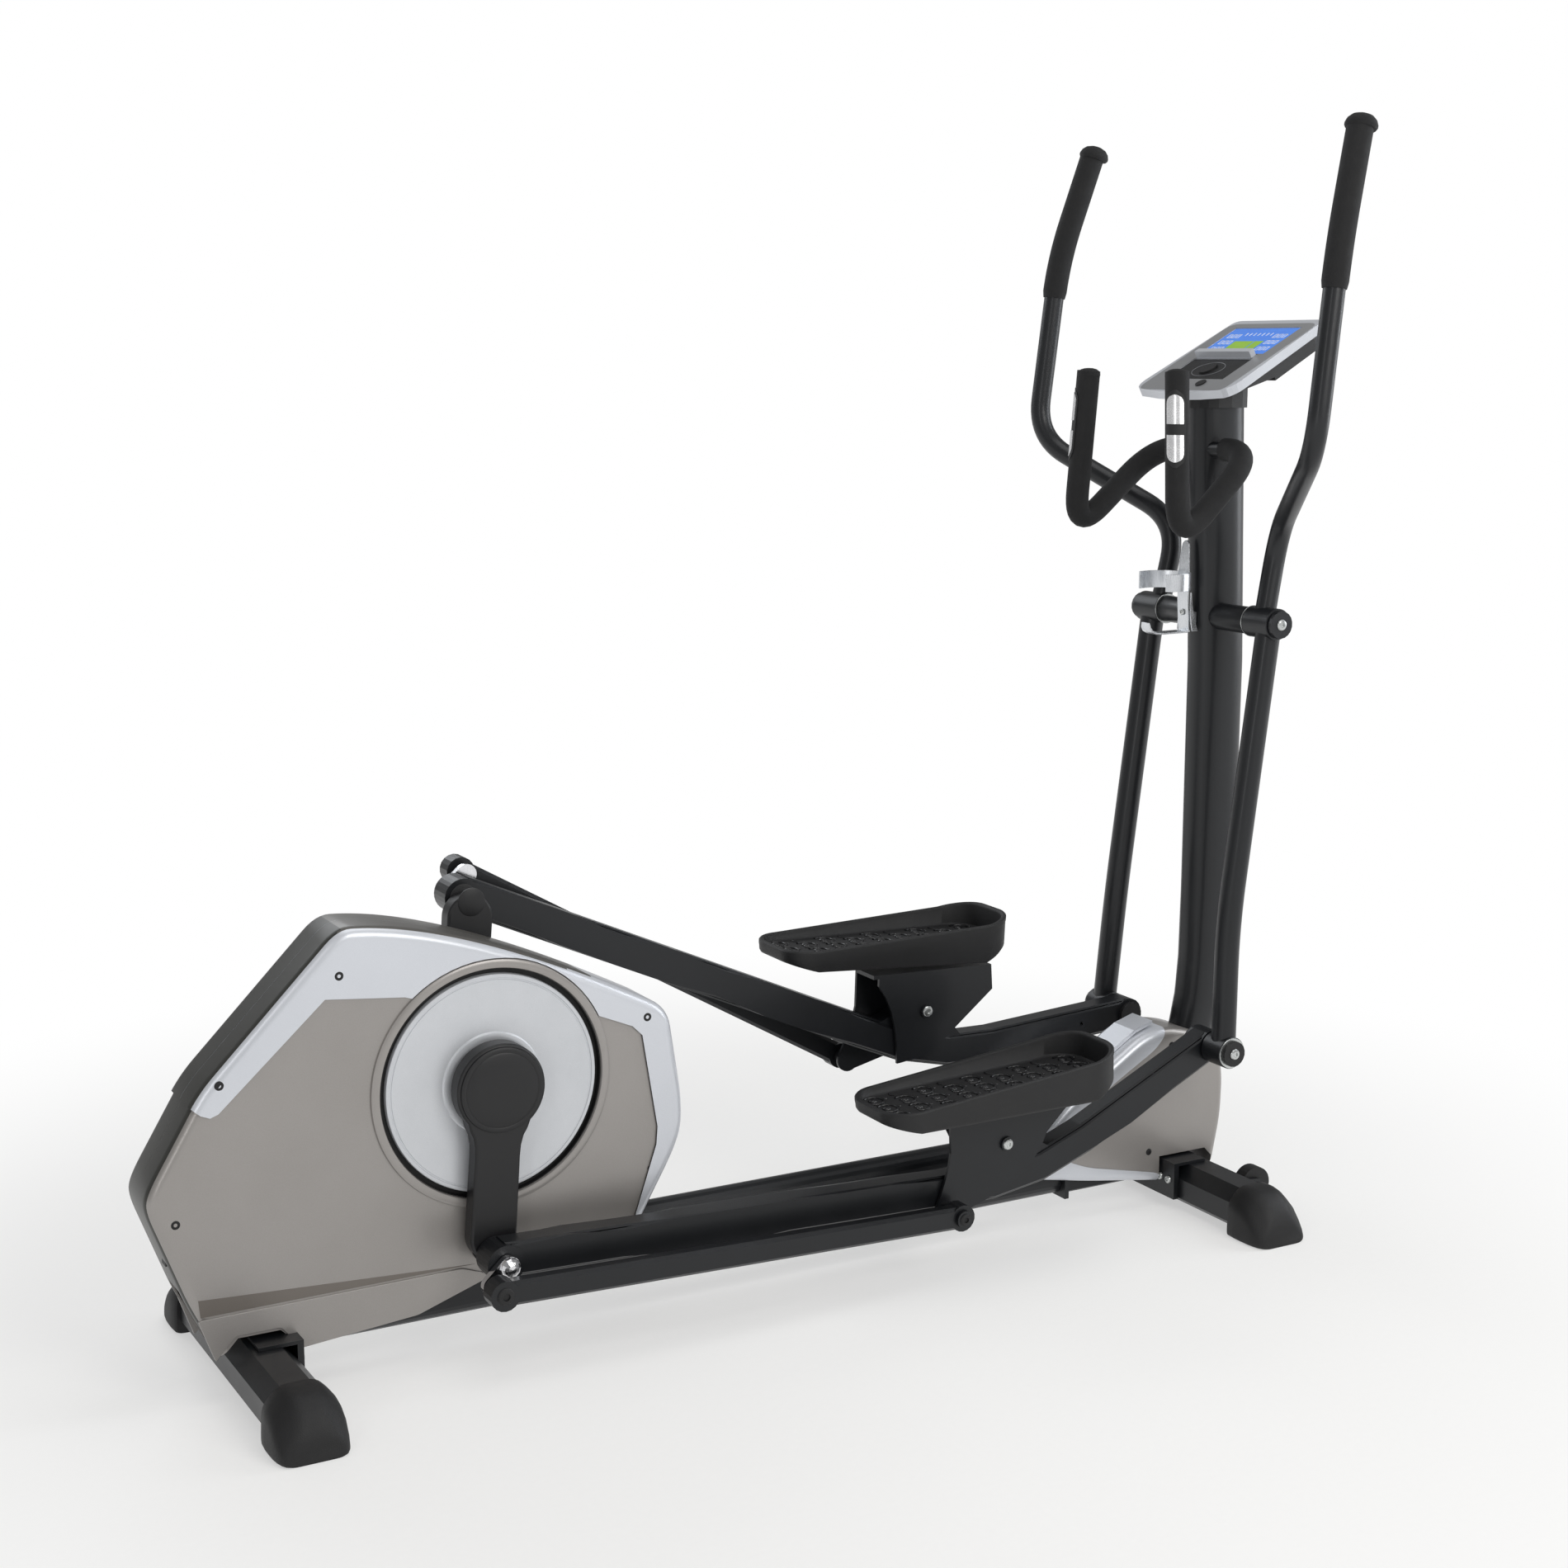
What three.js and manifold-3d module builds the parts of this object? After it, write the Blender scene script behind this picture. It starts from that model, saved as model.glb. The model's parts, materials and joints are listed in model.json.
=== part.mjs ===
// Elliptical trainer with rear flywheel housing, swing arms and articulated pedals.
// Units are millimetres, +X towards the console, +Y to the rider's left, +Z up.
// Parts are drawn from a datum on the floor; the whole machine is then moved so that the
// origin is on the floor under the middle of its length.
import * as THREE from 'three';
import { mergeVertices } from 'three/addons/utils/BufferGeometryUtils.js';
import Module from 'manifold-3d';

const wasm = await Module();
wasm.setup();

// ---------------------------------------------------------------- driving dimensions
const GAP = 0.3;
const TUBE_WALL = 2.5;
const VENT_RADIUS = 3;
const LENGTH_CENTRE = 35.5;
const RIGHT = -1;
const LEFT = 1;

const AXLE = { x: -414, z: 375 };
const CRANK_THROW = 229;
const CRANK_ANGLE = THREE.MathUtils.degToRad(-94.4);
const DISC_RADIUS = 154;
const AXLE_RADIUS = 12.5;

const MAST_PIVOT = { x: 832, z: 943 };
const SWING_THROW = 666;
const SWING_ANGLE = THREE.MathUtils.degToRad(-6.06);
const LOWER_PIVOT = {
  x: MAST_PIVOT.x + SWING_THROW * Math.sin(SWING_ANGLE),
  z: MAST_PIVOT.z - SWING_THROW * Math.cos(SWING_ANGLE),
};

// distances of each layer of the drive train from the machine's centre plane
const COVER_HALF_WIDTH = 50;
const RECESS_Y = 42;
const DISC_Y = [43, 51];
const CRANK_Y = [56, 84];
const BAR_Y = [88, 128];
const INNER_PLATE_Y = [80, 85];
const OUTER_PLATE_Y = [131, 136];
const RETURN_CRANK_Y = [132, 142];
const LINK_Y = [156, 180];
const PEDAL_Y = [70, 225];
const ARM_SLEEVE_Y = [131, 175];
const MAST_SLEEVE_Y = [107, 165];

// the four-bar geometry of one pedal, measured from the lower pivot along its bar
const BRACKET_BOLT = { along: 400, above: -49 };
const LINK_EYE = { x: -108, z: -80 };
const RETURN_THROW = 32;
const RETURN_ANGLE = THREE.MathUtils.degToRad(-137);
const PEDAL_PITCH = { [RIGHT]: -2.5, [LEFT]: 2 };

const FLYWHEEL = { x: -655, z: 295, radius: 115 };
const PULLEY_RADIUS = 125;
const FLYWHEEL_HUB_RADIUS = 20;
const PULLEY_Y = [-22, -12];

const RAIL = { halfWidth: 25, bottom: 38, top: 148, rear: -699, joint: 552 };
const REAR_FOOT_X = -747;
const FRONT_FOOT_X = 781.5;
const FOOT_TUBE = { half: 40, bottom: 12, top: 72 };

const MAST_BORE_RADIUS = 12.4;
const HANDLE_RADIUS = 16;
const GRIP_RADIUS = 19.5;
const ARM_RADIUS = 19;
const PIVOT_RADIUS = 12;
const FIXED_BAR_RADIUS = 12.7;
const FOAM_RADIUS = 18;

const CONSOLE = { x: 851, z: 1344, pitch: 28.4, length: 235, width: 232 };

// ---------------------------------------------------------------- materials
function finish(color, roughness, metalness) {
  return new THREE.MeshStandardMaterial({ color, roughness, metalness });
}

const blackSteel = () => finish(0x1d1f23, 0.42, 0.5);
const blackPlastic = () => finish(0x1b1b1d, 0.6, 0);
const blackFoam = () => finish(0x141416, 0.9, 0);
const taupePlastic = () => finish(0x8a8682, 0.42, 0.35);
const silverPlastic = () => finish(0xc6cace, 0.35, 0.4);
const brightSteel = () => finish(0xc4c6c8, 0.22, 1);
const rubber = () => finish(0x161617, 0.85, 0);

// ---------------------------------------------------------------- solid helpers
function toSolid(geometry) {
  const bare = geometry.clone();
  bare.deleteAttribute('normal');
  bare.deleteAttribute('uv');
  const merged = mergeVertices(bare, 1e-4);
  const mesh = new wasm.Mesh({
    numProp: 3,
    vertProperties: new Float32Array(merged.attributes.position.array),
    triVerts: new Uint32Array(merged.index.array),
  });
  return new wasm.Manifold(mesh);
}

function toGeometry(solid) {
  const mesh = solid.getMesh();
  const geometry = new THREE.BufferGeometry();
  geometry.setAttribute('position', new THREE.BufferAttribute(mesh.vertProperties, 3));
  geometry.setIndex(new THREE.BufferAttribute(mesh.triVerts, 1));
  return geometry;
}

function union(first, ...others) {
  return toGeometry(others.reduce((sum, other) => sum.add(toSolid(other)), toSolid(first)));
}

function minus(first, ...others) {
  return toGeometry(others.reduce((rest, other) => rest.subtract(toSolid(other)), toSolid(first)));
}

function common(first, second) {
  return toGeometry(toSolid(first).intersect(toSolid(second)));
}

function box(x0, x1, y0, y1, z0, z1) {
  const geometry = new THREE.BoxGeometry(x1 - x0, y1 - y0, z1 - z0);
  return geometry.translate((x0 + x1) / 2, (y0 + y1) / 2, (z0 + z1) / 2);
}

// a round bar along Y from distance a to distance b on one side of the centre plane
function crossRod(side, point, radius, a, b, segments = 18) {
  const geometry = new THREE.CylinderGeometry(radius, radius, b - a, segments);
  return geometry.translate(point.x, side * (a + b) / 2, point.z);
}

// a side-view outline in X and Z, made solid between two distances on one side of the centre plane
function sidePlate(shape, side, a, b, bevel = 0, curveSegments = 8, grow = 0) {
  const geometry = new THREE.ExtrudeGeometry(shape, {
    depth: b - a - 2 * bevel,
    steps: 1,
    curveSegments,
    bevelEnabled: bevel > 0,
    bevelThickness: bevel,
    bevelSize: bevel,
    bevelOffset: grow - bevel,
    bevelSegments: 1,
  });
  const upright = new THREE.Matrix4().makeBasis(
    new THREE.Vector3(1, 0, 0),
    new THREE.Vector3(0, 0, 1),
    new THREE.Vector3(0, -1, 0),
  );
  const top = Math.max(side * a, side * b) - bevel;
  return geometry.applyMatrix4(upright).translate(0, top, 0);
}

function polygon(points) {
  return new THREE.Shape(points.map(([x, z]) => new THREE.Vector2(x, z)));
}

function circleShape(radius, segments, x = 0, y = 0) {
  const points = [];
  for (let i = 0; i < segments; i += 1) {
    const angle = (i / segments) * 2 * Math.PI;
    points.push(new THREE.Vector2(x + radius * Math.cos(angle), y + radius * Math.sin(angle)));
  }
  return new THREE.Shape(points);
}

// a bar outline of even height along a side-view curve, squared at both ends
function ribbon(curve, halfHeight, steps) {
  const upper = [];
  const lower = [];
  for (let i = 0; i <= steps; i += 1) {
    const point = curve.getPoint(i / steps);
    const tangent = curve.getTangent(i / steps);
    upper.push([point.x - tangent.y * halfHeight, point.y + tangent.x * halfHeight]);
    lower.push([point.x + tangent.y * halfHeight, point.y - tangent.x * halfHeight]);
  }
  return polygon([...lower, ...upper.reverse()]);
}

// straight runs joined by smooth bends; each bend starts and ends `reach` from its corner
function roundedPath(points, reach) {
  const path = new THREE.CurvePath();
  let from = points[0];
  for (let i = 1; i < points.length - 1; i += 1) {
    const corner = points[i];
    const before = corner.clone().lerp(points[i - 1], reach / corner.distanceTo(points[i - 1]));
    const after = corner.clone().lerp(points[i + 1], reach / corner.distanceTo(points[i + 1]));
    path.add(new THREE.LineCurve3(from, before));
    path.add(new THREE.QuadraticBezierCurve3(before, corner, after));
    from = after;
  }
  path.add(new THREE.LineCurve3(from, points[points.length - 1]));
  return path;
}

function sweep(path, radius, sides, steps) {
  return new THREE.ExtrudeGeometry(circleShape(radius, sides), {
    steps,
    bevelEnabled: false,
    extrudePath: path,
  });
}

// a closed skin over a row of rings that all have the same number of points
function loft(rings) {
  const count = rings[0].length;
  const positions = rings.flat(2);
  const index = [];
  for (let r = 0; r < rings.length - 1; r += 1) {
    for (let i = 0; i < count; i += 1) {
      const a = r * count + i;
      const b = r * count + ((i + 1) % count);
      index.push(a, b, b + count, a, b + count, a + count);
    }
  }
  const last = (rings.length - 1) * count;
  for (let i = 1; i < count - 1; i += 1) {
    index.push(0, i + 1, i);
    index.push(last, last + i, last + i + 1);
  }
  const geometry = new THREE.BufferGeometry();
  geometry.setAttribute('position', new THREE.Float32BufferAttribute(positions, 3));
  geometry.setIndex(index);
  return facingOut(geometry);
}

function facingOut(geometry) {
  const position = geometry.attributes.position;
  const [a, b, c] = [new THREE.Vector3(), new THREE.Vector3(), new THREE.Vector3()];
  const index = geometry.index.array;
  let volume = 0;
  for (let i = 0; i < index.length; i += 3) {
    a.fromBufferAttribute(position, index[i]);
    b.fromBufferAttribute(position, index[i + 1]);
    c.fromBufferAttribute(position, index[i + 2]);
    volume += a.dot(b.cross(c));
  }
  if (volume < 0) {
    const flipped = [];
    for (let i = 0; i < index.length; i += 3) {
      flipped.push(index[i], index[i + 2], index[i + 1]);
    }
    geometry.setIndex(flipped);
  }
  return geometry;
}

// half of a machine part: everything from the centre plane out to one side
function halfSpace(side) {
  const y0 = side === RIGHT ? -400 : GAP / 2;
  const y1 = side === RIGHT ? -GAP / 2 : 400;
  return box(-1200, 1200, y0, y1, -50, 1800);
}

// ---------------------------------------------------------------- the tree of parts
const machine = new THREE.Group();
machine.name = 'elliptical_trainer';
machine.position.x = -LENGTH_CENTRE;

function addPart(name, geometry, material) {
  const part = new THREE.Mesh(geometry, material);
  part.name = name;
  machine.add(part);
}

function sideName(side) {
  return side === RIGHT ? 'right' : 'left';
}

// ---------------------------------------------------------------- base frame
function railShape() {
  const straight = RAIL.top - RAIL.bottom - 2 * RAIL.halfWidth;
  const shape = new THREE.Shape();
  shape.moveTo(RAIL.halfWidth, RAIL.bottom + RAIL.halfWidth);
  shape.lineTo(RAIL.halfWidth, RAIL.bottom + RAIL.halfWidth + straight);
  shape.absarc(0, RAIL.top - RAIL.halfWidth, RAIL.halfWidth, 0, Math.PI, false);
  shape.lineTo(-RAIL.halfWidth, RAIL.bottom + RAIL.halfWidth);
  shape.absarc(0, RAIL.bottom + RAIL.halfWidth, RAIL.halfWidth, Math.PI, 2 * Math.PI, false);
  return shape;
}

function railTube(x0, x1) {
  const geometry = new THREE.ExtrudeGeometry(railShape(), {
    depth: x1 - x0,
    steps: 1,
    curveSegments: 6,
    bevelEnabled: false,
  });
  const lengthwise = new THREE.Matrix4().makeBasis(
    new THREE.Vector3(0, 1, 0),
    new THREE.Vector3(0, 0, 1),
    new THREE.Vector3(1, 0, 0),
  );
  return geometry.applyMatrix4(lengthwise).translate(x0, 0, 0);
}

// the bent plate that grips a foot tube from one side and from above
function footSaddle(x0, x1, lipX0, lipX1) {
  const lipBottom = FOOT_TUBE.top + GAP;
  return union(
    box(x0, x1, -80, 80, 18, lipBottom + 5),
    box(lipX0, lipX1, -80, 80, lipBottom, lipBottom + 5),
  );
}

function addRails() {
  const rearFace = REAR_FOOT_X + FOOT_TUBE.half + GAP;
  const rear = union(
    railTube(RAIL.rear, RAIL.joint),
    footSaddle(rearFace, RAIL.rear + 1, REAR_FOOT_X - 12, RAIL.rear + 1),
  );
  addPart('rear_frame_rail', rear, blackSteel());

  const post = polygon([
    [RAIL.joint + GAP, 38], [733, 38], [733, 78], [838, 78], [838, 300],
    [802, 300], [802, 152], [794, 148], [RAIL.joint + GAP, 148],
  ]);
  const frontFace = FRONT_FOOT_X - FOOT_TUBE.half - GAP;
  const joinPlate = box(RAIL.joint + GAP, RAIL.joint + 8, -34, 34, 36, 150);
  const front = union(
    sidePlate(post, LEFT, -16, 16, 3),
    footSaddle(732, frontFace, 732, FRONT_FOOT_X + 12),
    joinPlate,
  );
  addPart('front_frame_rail', front, blackSteel());
}

function footRing(x, y, half, bottom, top, chamfer) {
  const low = 8;
  return [
    [x - half + low, y, bottom], [x + half - low, y, bottom], [x + half, y, bottom + low],
    [x + half, y, top - chamfer], [x + half - chamfer, y, top], [x - half + chamfer, y, top],
    [x - half, y, top - chamfer], [x - half, y, bottom + low],
  ];
}

function footTube(x, tubeEnd) {
  const { half, bottom, top } = FOOT_TUBE;
  return loft([-tubeEnd, tubeEnd].map((y) => footRing(x, y, half, bottom, top, 20)));
}

function addFeet() {
  const wheelAxle = { x: 865, z: 34 };
  for (const [place, x, reach] of [['rear', REAR_FOOT_X, 279], ['front', FRONT_FOOT_X, 288]]) {
    const tubeEnd = reach - 40;
    let tube = footTube(x, tubeEnd);
    if (place === 'front') {
      for (const side of [RIGHT, LEFT]) {
        const ear = new THREE.Shape();
        ear.moveTo(x + 30, 24);
        ear.lineTo(wheelAxle.x, wheelAxle.z - 11);
        ear.absarc(wheelAxle.x, wheelAxle.z, 11, -Math.PI / 2, Math.PI / 2, false);
        ear.lineTo(x + 30, 50);
        const axle = crossRod(side, wheelAxle, 5, 93, 127, 16);
        tube = union(tube, sidePlate(ear, side, 94, 98, 0, 6), sidePlate(ear, side, 122, 126, 0, 6), axle);
        const tread = crossRod(side, wheelAxle, 28, 99.5, 120.5, 28);
        const wheel = minus(tread, crossRod(side, wheelAxle, 5.4, 90, 130, 16));
        addPart(`transport_wheel_${sideName(side)}`, wheel, rubber());
      }
    }
    addPart(`${place}_stabilizer`, tube, blackSteel());
    for (const side of [RIGHT, LEFT]) {
      const cap = loft([
        footRing(x, side * (reach - 80), 46, 2, 76, 22),
        footRing(x, side * (reach - 66), 50, 0, 78, 22),
        footRing(x, side * (reach - 38), 50, 0, 76, 22),
        footRing(x, side * (reach - 10), 46, 0, 40, 16),
        footRing(x, side * reach, 36, 0, 22, 8),
      ]);
      const socket = loft([reach - 90, tubeEnd + GAP].map(
        (y) => footRing(x, side * y, FOOT_TUBE.half + GAP, FOOT_TUBE.bottom - GAP, FOOT_TUBE.top + GAP, 20),
      ));
      addPart(`foot_cap_${place}_${sideName(side)}`, minus(cap, socket), rubber());
    }
  }
}

// ---------------------------------------------------------------- mast
const MAST_STATIONS = [
  { z: 152, x: 817, a: 34, b: 28 },
  { z: 268, x: 818, a: 36, b: 29 },
  { z: 330, x: 834, a: 39, b: 30 },
  { z: 390, x: 842, a: 42, b: 31 },
  { z: 500, x: 846, a: 44, b: 32 },
  { z: 870, x: 847, a: 45, b: 32 },
  { z: 1284, x: 833, a: 45, b: 32 },
];

function mastRing(station, inset) {
  const ring = [];
  const sides = 16;
  for (let i = 0; i < sides; i += 1) {
    const angle = (i / sides) * 2 * Math.PI;
    const [c, s] = [Math.cos(angle), Math.sin(angle)];
    const power = 0.8;
    ring.push([
      station.x + (station.a - inset) * Math.sign(c) * Math.abs(c) ** power,
      (station.b - inset) * Math.sign(s) * Math.abs(s) ** power,
      station.z,
    ]);
  }
  return ring;
}

function addMast() {
  const outer = loft(MAST_STATIONS.map((station) => mastRing(station, 0)));
  const bottom = { ...MAST_STATIONS[0], z: 150 };
  const top = { ...MAST_STATIONS.at(-1), z: 1290 };
  const inner = loft([bottom, ...MAST_STATIONS.slice(1, -1), top].map((station) => mastRing(station, 3)));
  const boss = crossRod(LEFT, MAST_PIVOT, 21, -105, 105);
  const crossBar = { x: FIXED_BAR.corner.x, z: FIXED_BAR.corner.z };
  const mast = minus(
    union(minus(outer, inner), boss),
    crossRod(LEFT, MAST_PIVOT, MAST_BORE_RADIUS, -120, 120),
    crossRod(LEFT, crossBar, FIXED_BAR_RADIUS + 0.6, -60, 60, 20),
  );
  addPart('mast', mast, blackSteel());

  const shaft = union(
    crossRod(LEFT, MAST_PIVOT, 12, -172, 172),
    crossRod(RIGHT, MAST_PIVOT, 21, 166, 173),
    crossRod(LEFT, MAST_PIVOT, 21, 166, 173),
  );
  addPart('mast_pivot_shaft', shaft, blackSteel());
}

// ---------------------------------------------------------------- fixed handlebar
const FIXED_BAR = {
  top: { x: 669, y: 110, z: 1325 },
  bend: { x: 662, y: 131, z: 1068 },
  corner: { x: 812, y: 121, z: 1203 },
};

function fixedBarPath(side, topZ) {
  const { bend, corner } = FIXED_BAR;
  const points = [
    new THREE.Vector3(FIXED_BAR.top.x, side * FIXED_BAR.top.y, topZ),
    new THREE.Vector3(bend.x, side * bend.y, bend.z),
    new THREE.Vector3(corner.x, side * corner.y, corner.z),
    new THREE.Vector3(corner.x, 0, corner.z),
  ];
  return roundedPath(points, 68);
}

function addFixedHandlebar() {
  const halves = [RIGHT, LEFT].map((side) => sweep(fixedBarPath(side, 1315), FIXED_BAR_RADIUS, 8, 18));
  const seam = crossRod(LEFT, FIXED_BAR.corner, FIXED_BAR_RADIUS, -20, 20, 16);
  addPart('fixed_handlebar', union(halves[0], halves[1], seam), blackSteel());
  for (const side of [RIGHT, LEFT]) {
    const [y0, y1] = side === RIGHT ? [-200, -48] : [48, 200];
    const clearOfMast = box(500, 900, y0, y1, 1000, 1400);
    const skin = common(sweep(fixedBarPath(side, 1325), FOAM_RADIUS, 10, 18), clearOfMast);
    const core = sweep(fixedBarPath(side, 1315 + GAP), FIXED_BAR_RADIUS + 2 * GAP, 8, 18);
    addPart(`fixed_grip_${sideName(side)}`, minus(skin, core), blackFoam());
  }
}

// ---------------------------------------------------------------- console
function onConsole(geometry) {
  return geometry
    .rotateY(THREE.MathUtils.degToRad(-CONSOLE.pitch))
    .translate(CONSOLE.x, 0, CONSOLE.z);
}

// a rounded console outline, narrower at its front edge, in the console's own plane
function consoleShape(inset, x0, x1) {
  const rearHalf = CONSOLE.width / 2 - inset;
  const frontHalf = CONSOLE.width / 2 - 10 - inset;
  const shape = new THREE.Shape();
  shape.moveTo(x0 + 14, -rearHalf + 16);
  shape.quadraticCurveTo(x0 + 22, -rearHalf, x0 + 42, -rearHalf);
  shape.lineTo(x1 - 16, -frontHalf);
  shape.quadraticCurveTo(x1, -frontHalf, x1, -frontHalf + 16);
  shape.lineTo(x1, frontHalf - 16);
  shape.quadraticCurveTo(x1, frontHalf, x1 - 16, frontHalf);
  shape.lineTo(x0 + 42, rearHalf);
  shape.quadraticCurveTo(x0 + 22, rearHalf, x0 + 14, rearHalf - 16);
  shape.quadraticCurveTo(x0 - 4, 0, x0 + 14, -rearHalf + 16);
  return shape;
}

function consoleSlab(inset, x0, x1, z0, z1) {
  const geometry = new THREE.ExtrudeGeometry(consoleShape(inset, x0, x1), {
    depth: z1 - z0,
    steps: 1,
    curveSegments: 4,
    bevelEnabled: false,
  });
  return geometry.translate(0, 0, z0);
}

function addConsole() {
  const half = CONSOLE.length / 2;
  const lensPocket = box(8, 92, -78, 78, -6, 20);
  const keypadPocket = box(-72, -8, -70, 70, -3, 20);
  const buttonHoles = CONSOLE_BUTTONS.map((button) => consoleButton(button, 0.4, -30, 20));
  const bezel = minus(consoleSlab(0, -half, half, -14, 0), lensPocket, keypadPocket, ...buttonHoles);
  const ledge = box(-6, 4, -66, 66, -2, 12);
  addPart('console_bezel', onConsole(union(bezel, ledge)), silverPlastic());

  const lens = box(8 + GAP, 92 - GAP, -78 + GAP, 78 - GAP, -6 + GAP, -0.6);
  addPart('console_lens', onConsole(lens), finish(0x1f7fe0, 0.12, 0));
  const keypad = box(-72 + GAP, -8 - GAP, -70 + GAP, 70 - GAP, -3 + GAP, -0.6);
  addPart('console_keypad', onConsole(minus(keypad, ...buttonHoles)), blackPlastic());

  const floor = consoleSlab(6, -half + 4, half - 12, -36, -14 - GAP);
  const underside = box(-300, 0, -200, 200, -80, 0)
    .rotateY(THREE.MathUtils.degToRad(12)).translate(-8, 0, -31);
  const well = box(-100, 100, -98, 98, -26, 0);
  const mastNeck = minus(
    loft([mastRing({ z: 1266, x: 834, a: 50, b: 37 }, 0), mastRing({ z: 1330, x: 834, a: 50, b: 37 }, 0)]),
    loft([mastRing({ z: 1200, x: 834, a: 46, b: 33 }, 0), mastRing({ z: 1285, x: 834, a: 46, b: 33 }, 0)]),
  );
  const underBezel = onConsole(box(-400, 400, -200, 200, -400, -20));
  const neck = common(mastNeck, underBezel);
  const shell = onConsole(minus(floor, underside, well));
  addPart('console_back', minus(union(shell, neck), crossGapForBar()), blackPlastic());

  for (const button of CONSOLE_BUTTONS) {
    const cap = consoleButton(button, 0, -12, 2.5);
    addPart(`console_button_${button.name}`, onConsole(cap), finish(button.color, 0.45, 0));
  }
}

// keeps the console's neck clear of the fixed handlebar
function crossGapForBar() {
  return crossRod(LEFT, FIXED_BAR.corner, FOAM_RADIUS + 3, -90, 90, 16);
}

const CONSOLE_BUTTONS = [
  { name: 'dial', x: -40, y: 0, radius: 15, color: 0x2a2b2e },
  { name: 'start', x: -86, y: -34, radius: 9, color: 0x3a3c3f },
  { name: 'stop', x: -86, y: 34, radius: 9, color: 0x3a3c3f },
];

function consoleButton(button, extra, z0, z1) {
  const geometry = new THREE.CylinderGeometry(button.radius + extra, button.radius + extra, z1 - z0, 20);
  return geometry.rotateX(Math.PI / 2).translate(button.x, button.y, (z0 + z1) / 2);
}

// ---------------------------------------------------------------- bottle cage
function addBottleCage() {
  const ringX = 742;
  const ringZ = 1000;
  const band = new THREE.Shape();
  band.absarc(0, 0, 41, 0, 2 * Math.PI, false);
  const bore = new THREE.Path();
  bore.absarc(0, 0, 38.5, 0, 2 * Math.PI, true);
  band.holes.push(bore);
  const extrusion = { depth: 26, steps: 1, curveSegments: 14, bevelEnabled: false };
  const ring = new THREE.ExtrudeGeometry(band, extrusion).translate(ringX, 0, ringZ - 13);
  const spine = box(ringX + 38, ringX + 43, -13, 13, 918, 1062);
  const floor = box(ringX - 34, ringX + 40, -13, 13, 918, 921);
  const lip = box(ringX - 34, ringX - 31, -13, 13, 918, 936);
  const pad = box(ringX + 42, 799.1, -10, 10, 930, 950);
  addPart('bottle_cage', union(ring, spine, floor, lip, pad), finish(0xd2d5d8, 0.25, 1));
}

// ---------------------------------------------------------------- front shroud
function shroudShape() {
  const shape = new THREE.Shape();
  shape.moveTo(476, 84);
  shape.lineTo(590, 62);
  shape.lineTo(780, 32);
  shape.lineTo(838, 40);
  shape.lineTo(856, 130);
  shape.quadraticCurveTo(862, 200, 846, 252);
  shape.lineTo(790, 282);
  shape.quadraticCurveTo(735, 305, 690, 284);
  shape.lineTo(556, 200);
  shape.lineTo(470, 122);
  return shape;
}

function addShroud() {
  const outer = sidePlate(shroudShape(), LEFT, -46, 46, 14, 6);
  const inner = sidePlate(shroudShape(), LEFT, -43.5, 43.5, 14, 6, -2.5);
  const mastWay = loft([
    mastRing({ z: 120, x: 817, a: 36, b: 31 }, 0),
    mastRing({ z: 420, x: 826, a: 44, b: 33 }, 0),
  ]);
  const railWay = box(400, 740, -27, 27, 0, 152);
  const plateWay = box(548, 564, -36, 36, 20, 155);
  const footWay = box(728, 834, -120, 120, -10, 81);
  const frontWay = box(728, 846, -24, 24, 60, 170);
  for (const side of [RIGHT, LEFT]) {
    const skin = minus(common(outer, halfSpace(side)), inner);
    const half = minus(skin, mastWay, railWay, plateWay, footWay, frontWay);
    addPart(`front_shroud_${sideName(side)}`, half, taupePlastic());
  }
  const trim = polygon([[560, 206], [689, 286], [722, 297], [722, 302], [686, 291], [557, 211]]);
  addPart('front_shroud_trim', sidePlate(trim, LEFT, -26, 26), silverPlastic());
}

// ---------------------------------------------------------------- rear housing
function housingShape() {
  const shape = new THREE.Shape();
  shape.moveTo(-790, 40);
  shape.lineTo(-530, 62);
  shape.lineTo(-440, 96);
  shape.lineTo(-204, 126);
  shape.lineTo(-142, 232);
  shape.lineTo(-128, 268);
  shape.lineTo(-128, 314);
  shape.lineTo(-148, 442);
  shape.bezierCurveTo(-330, 540, -500, 612, -622, 612);
  shape.lineTo(-636, 606);
  shape.lineTo(-812, 420);
  shape.lineTo(-884, 300);
  shape.lineTo(-890, 276);
  shape.lineTo(-838, 134);
  shape.lineTo(-838, 118);
  return shape;
}

// the housing's outside, grown by a margin on every face
function housingSolid(grow, bevel) {
  const half = COVER_HALF_WIDTH + grow;
  return sidePlate(housingShape(), LEFT, -half, half, bevel, 10, grow);
}

// the region of the housing that the bright band covers, open towards the outside
function bandRegion() {
  const ringRadius = 173;
  const shape = new THREE.Shape();
  shape.moveTo(-212, 128);
  shape.lineTo(-120, 200);
  shape.lineTo(-60, 450);
  shape.lineTo(-400, 700);
  shape.lineTo(-700, 700);
  shape.lineTo(-860, 440);
  shape.lineTo(-812, 399);
  shape.lineTo(-788, 396);
  shape.lineTo(-645, 523);
  shape.lineTo(-536, 512);
  shape.absarc(AXLE.x, AXLE.z, ringRadius, 2.27, 0.44, true);
  shape.lineTo(-205, 427);
  shape.lineTo(-190, 412);
  shape.lineTo(-168, 276);
  shape.lineTo(-170, 250);
  return sidePlate(shape, LEFT, -80, 80, 0, 10);
}

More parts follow.
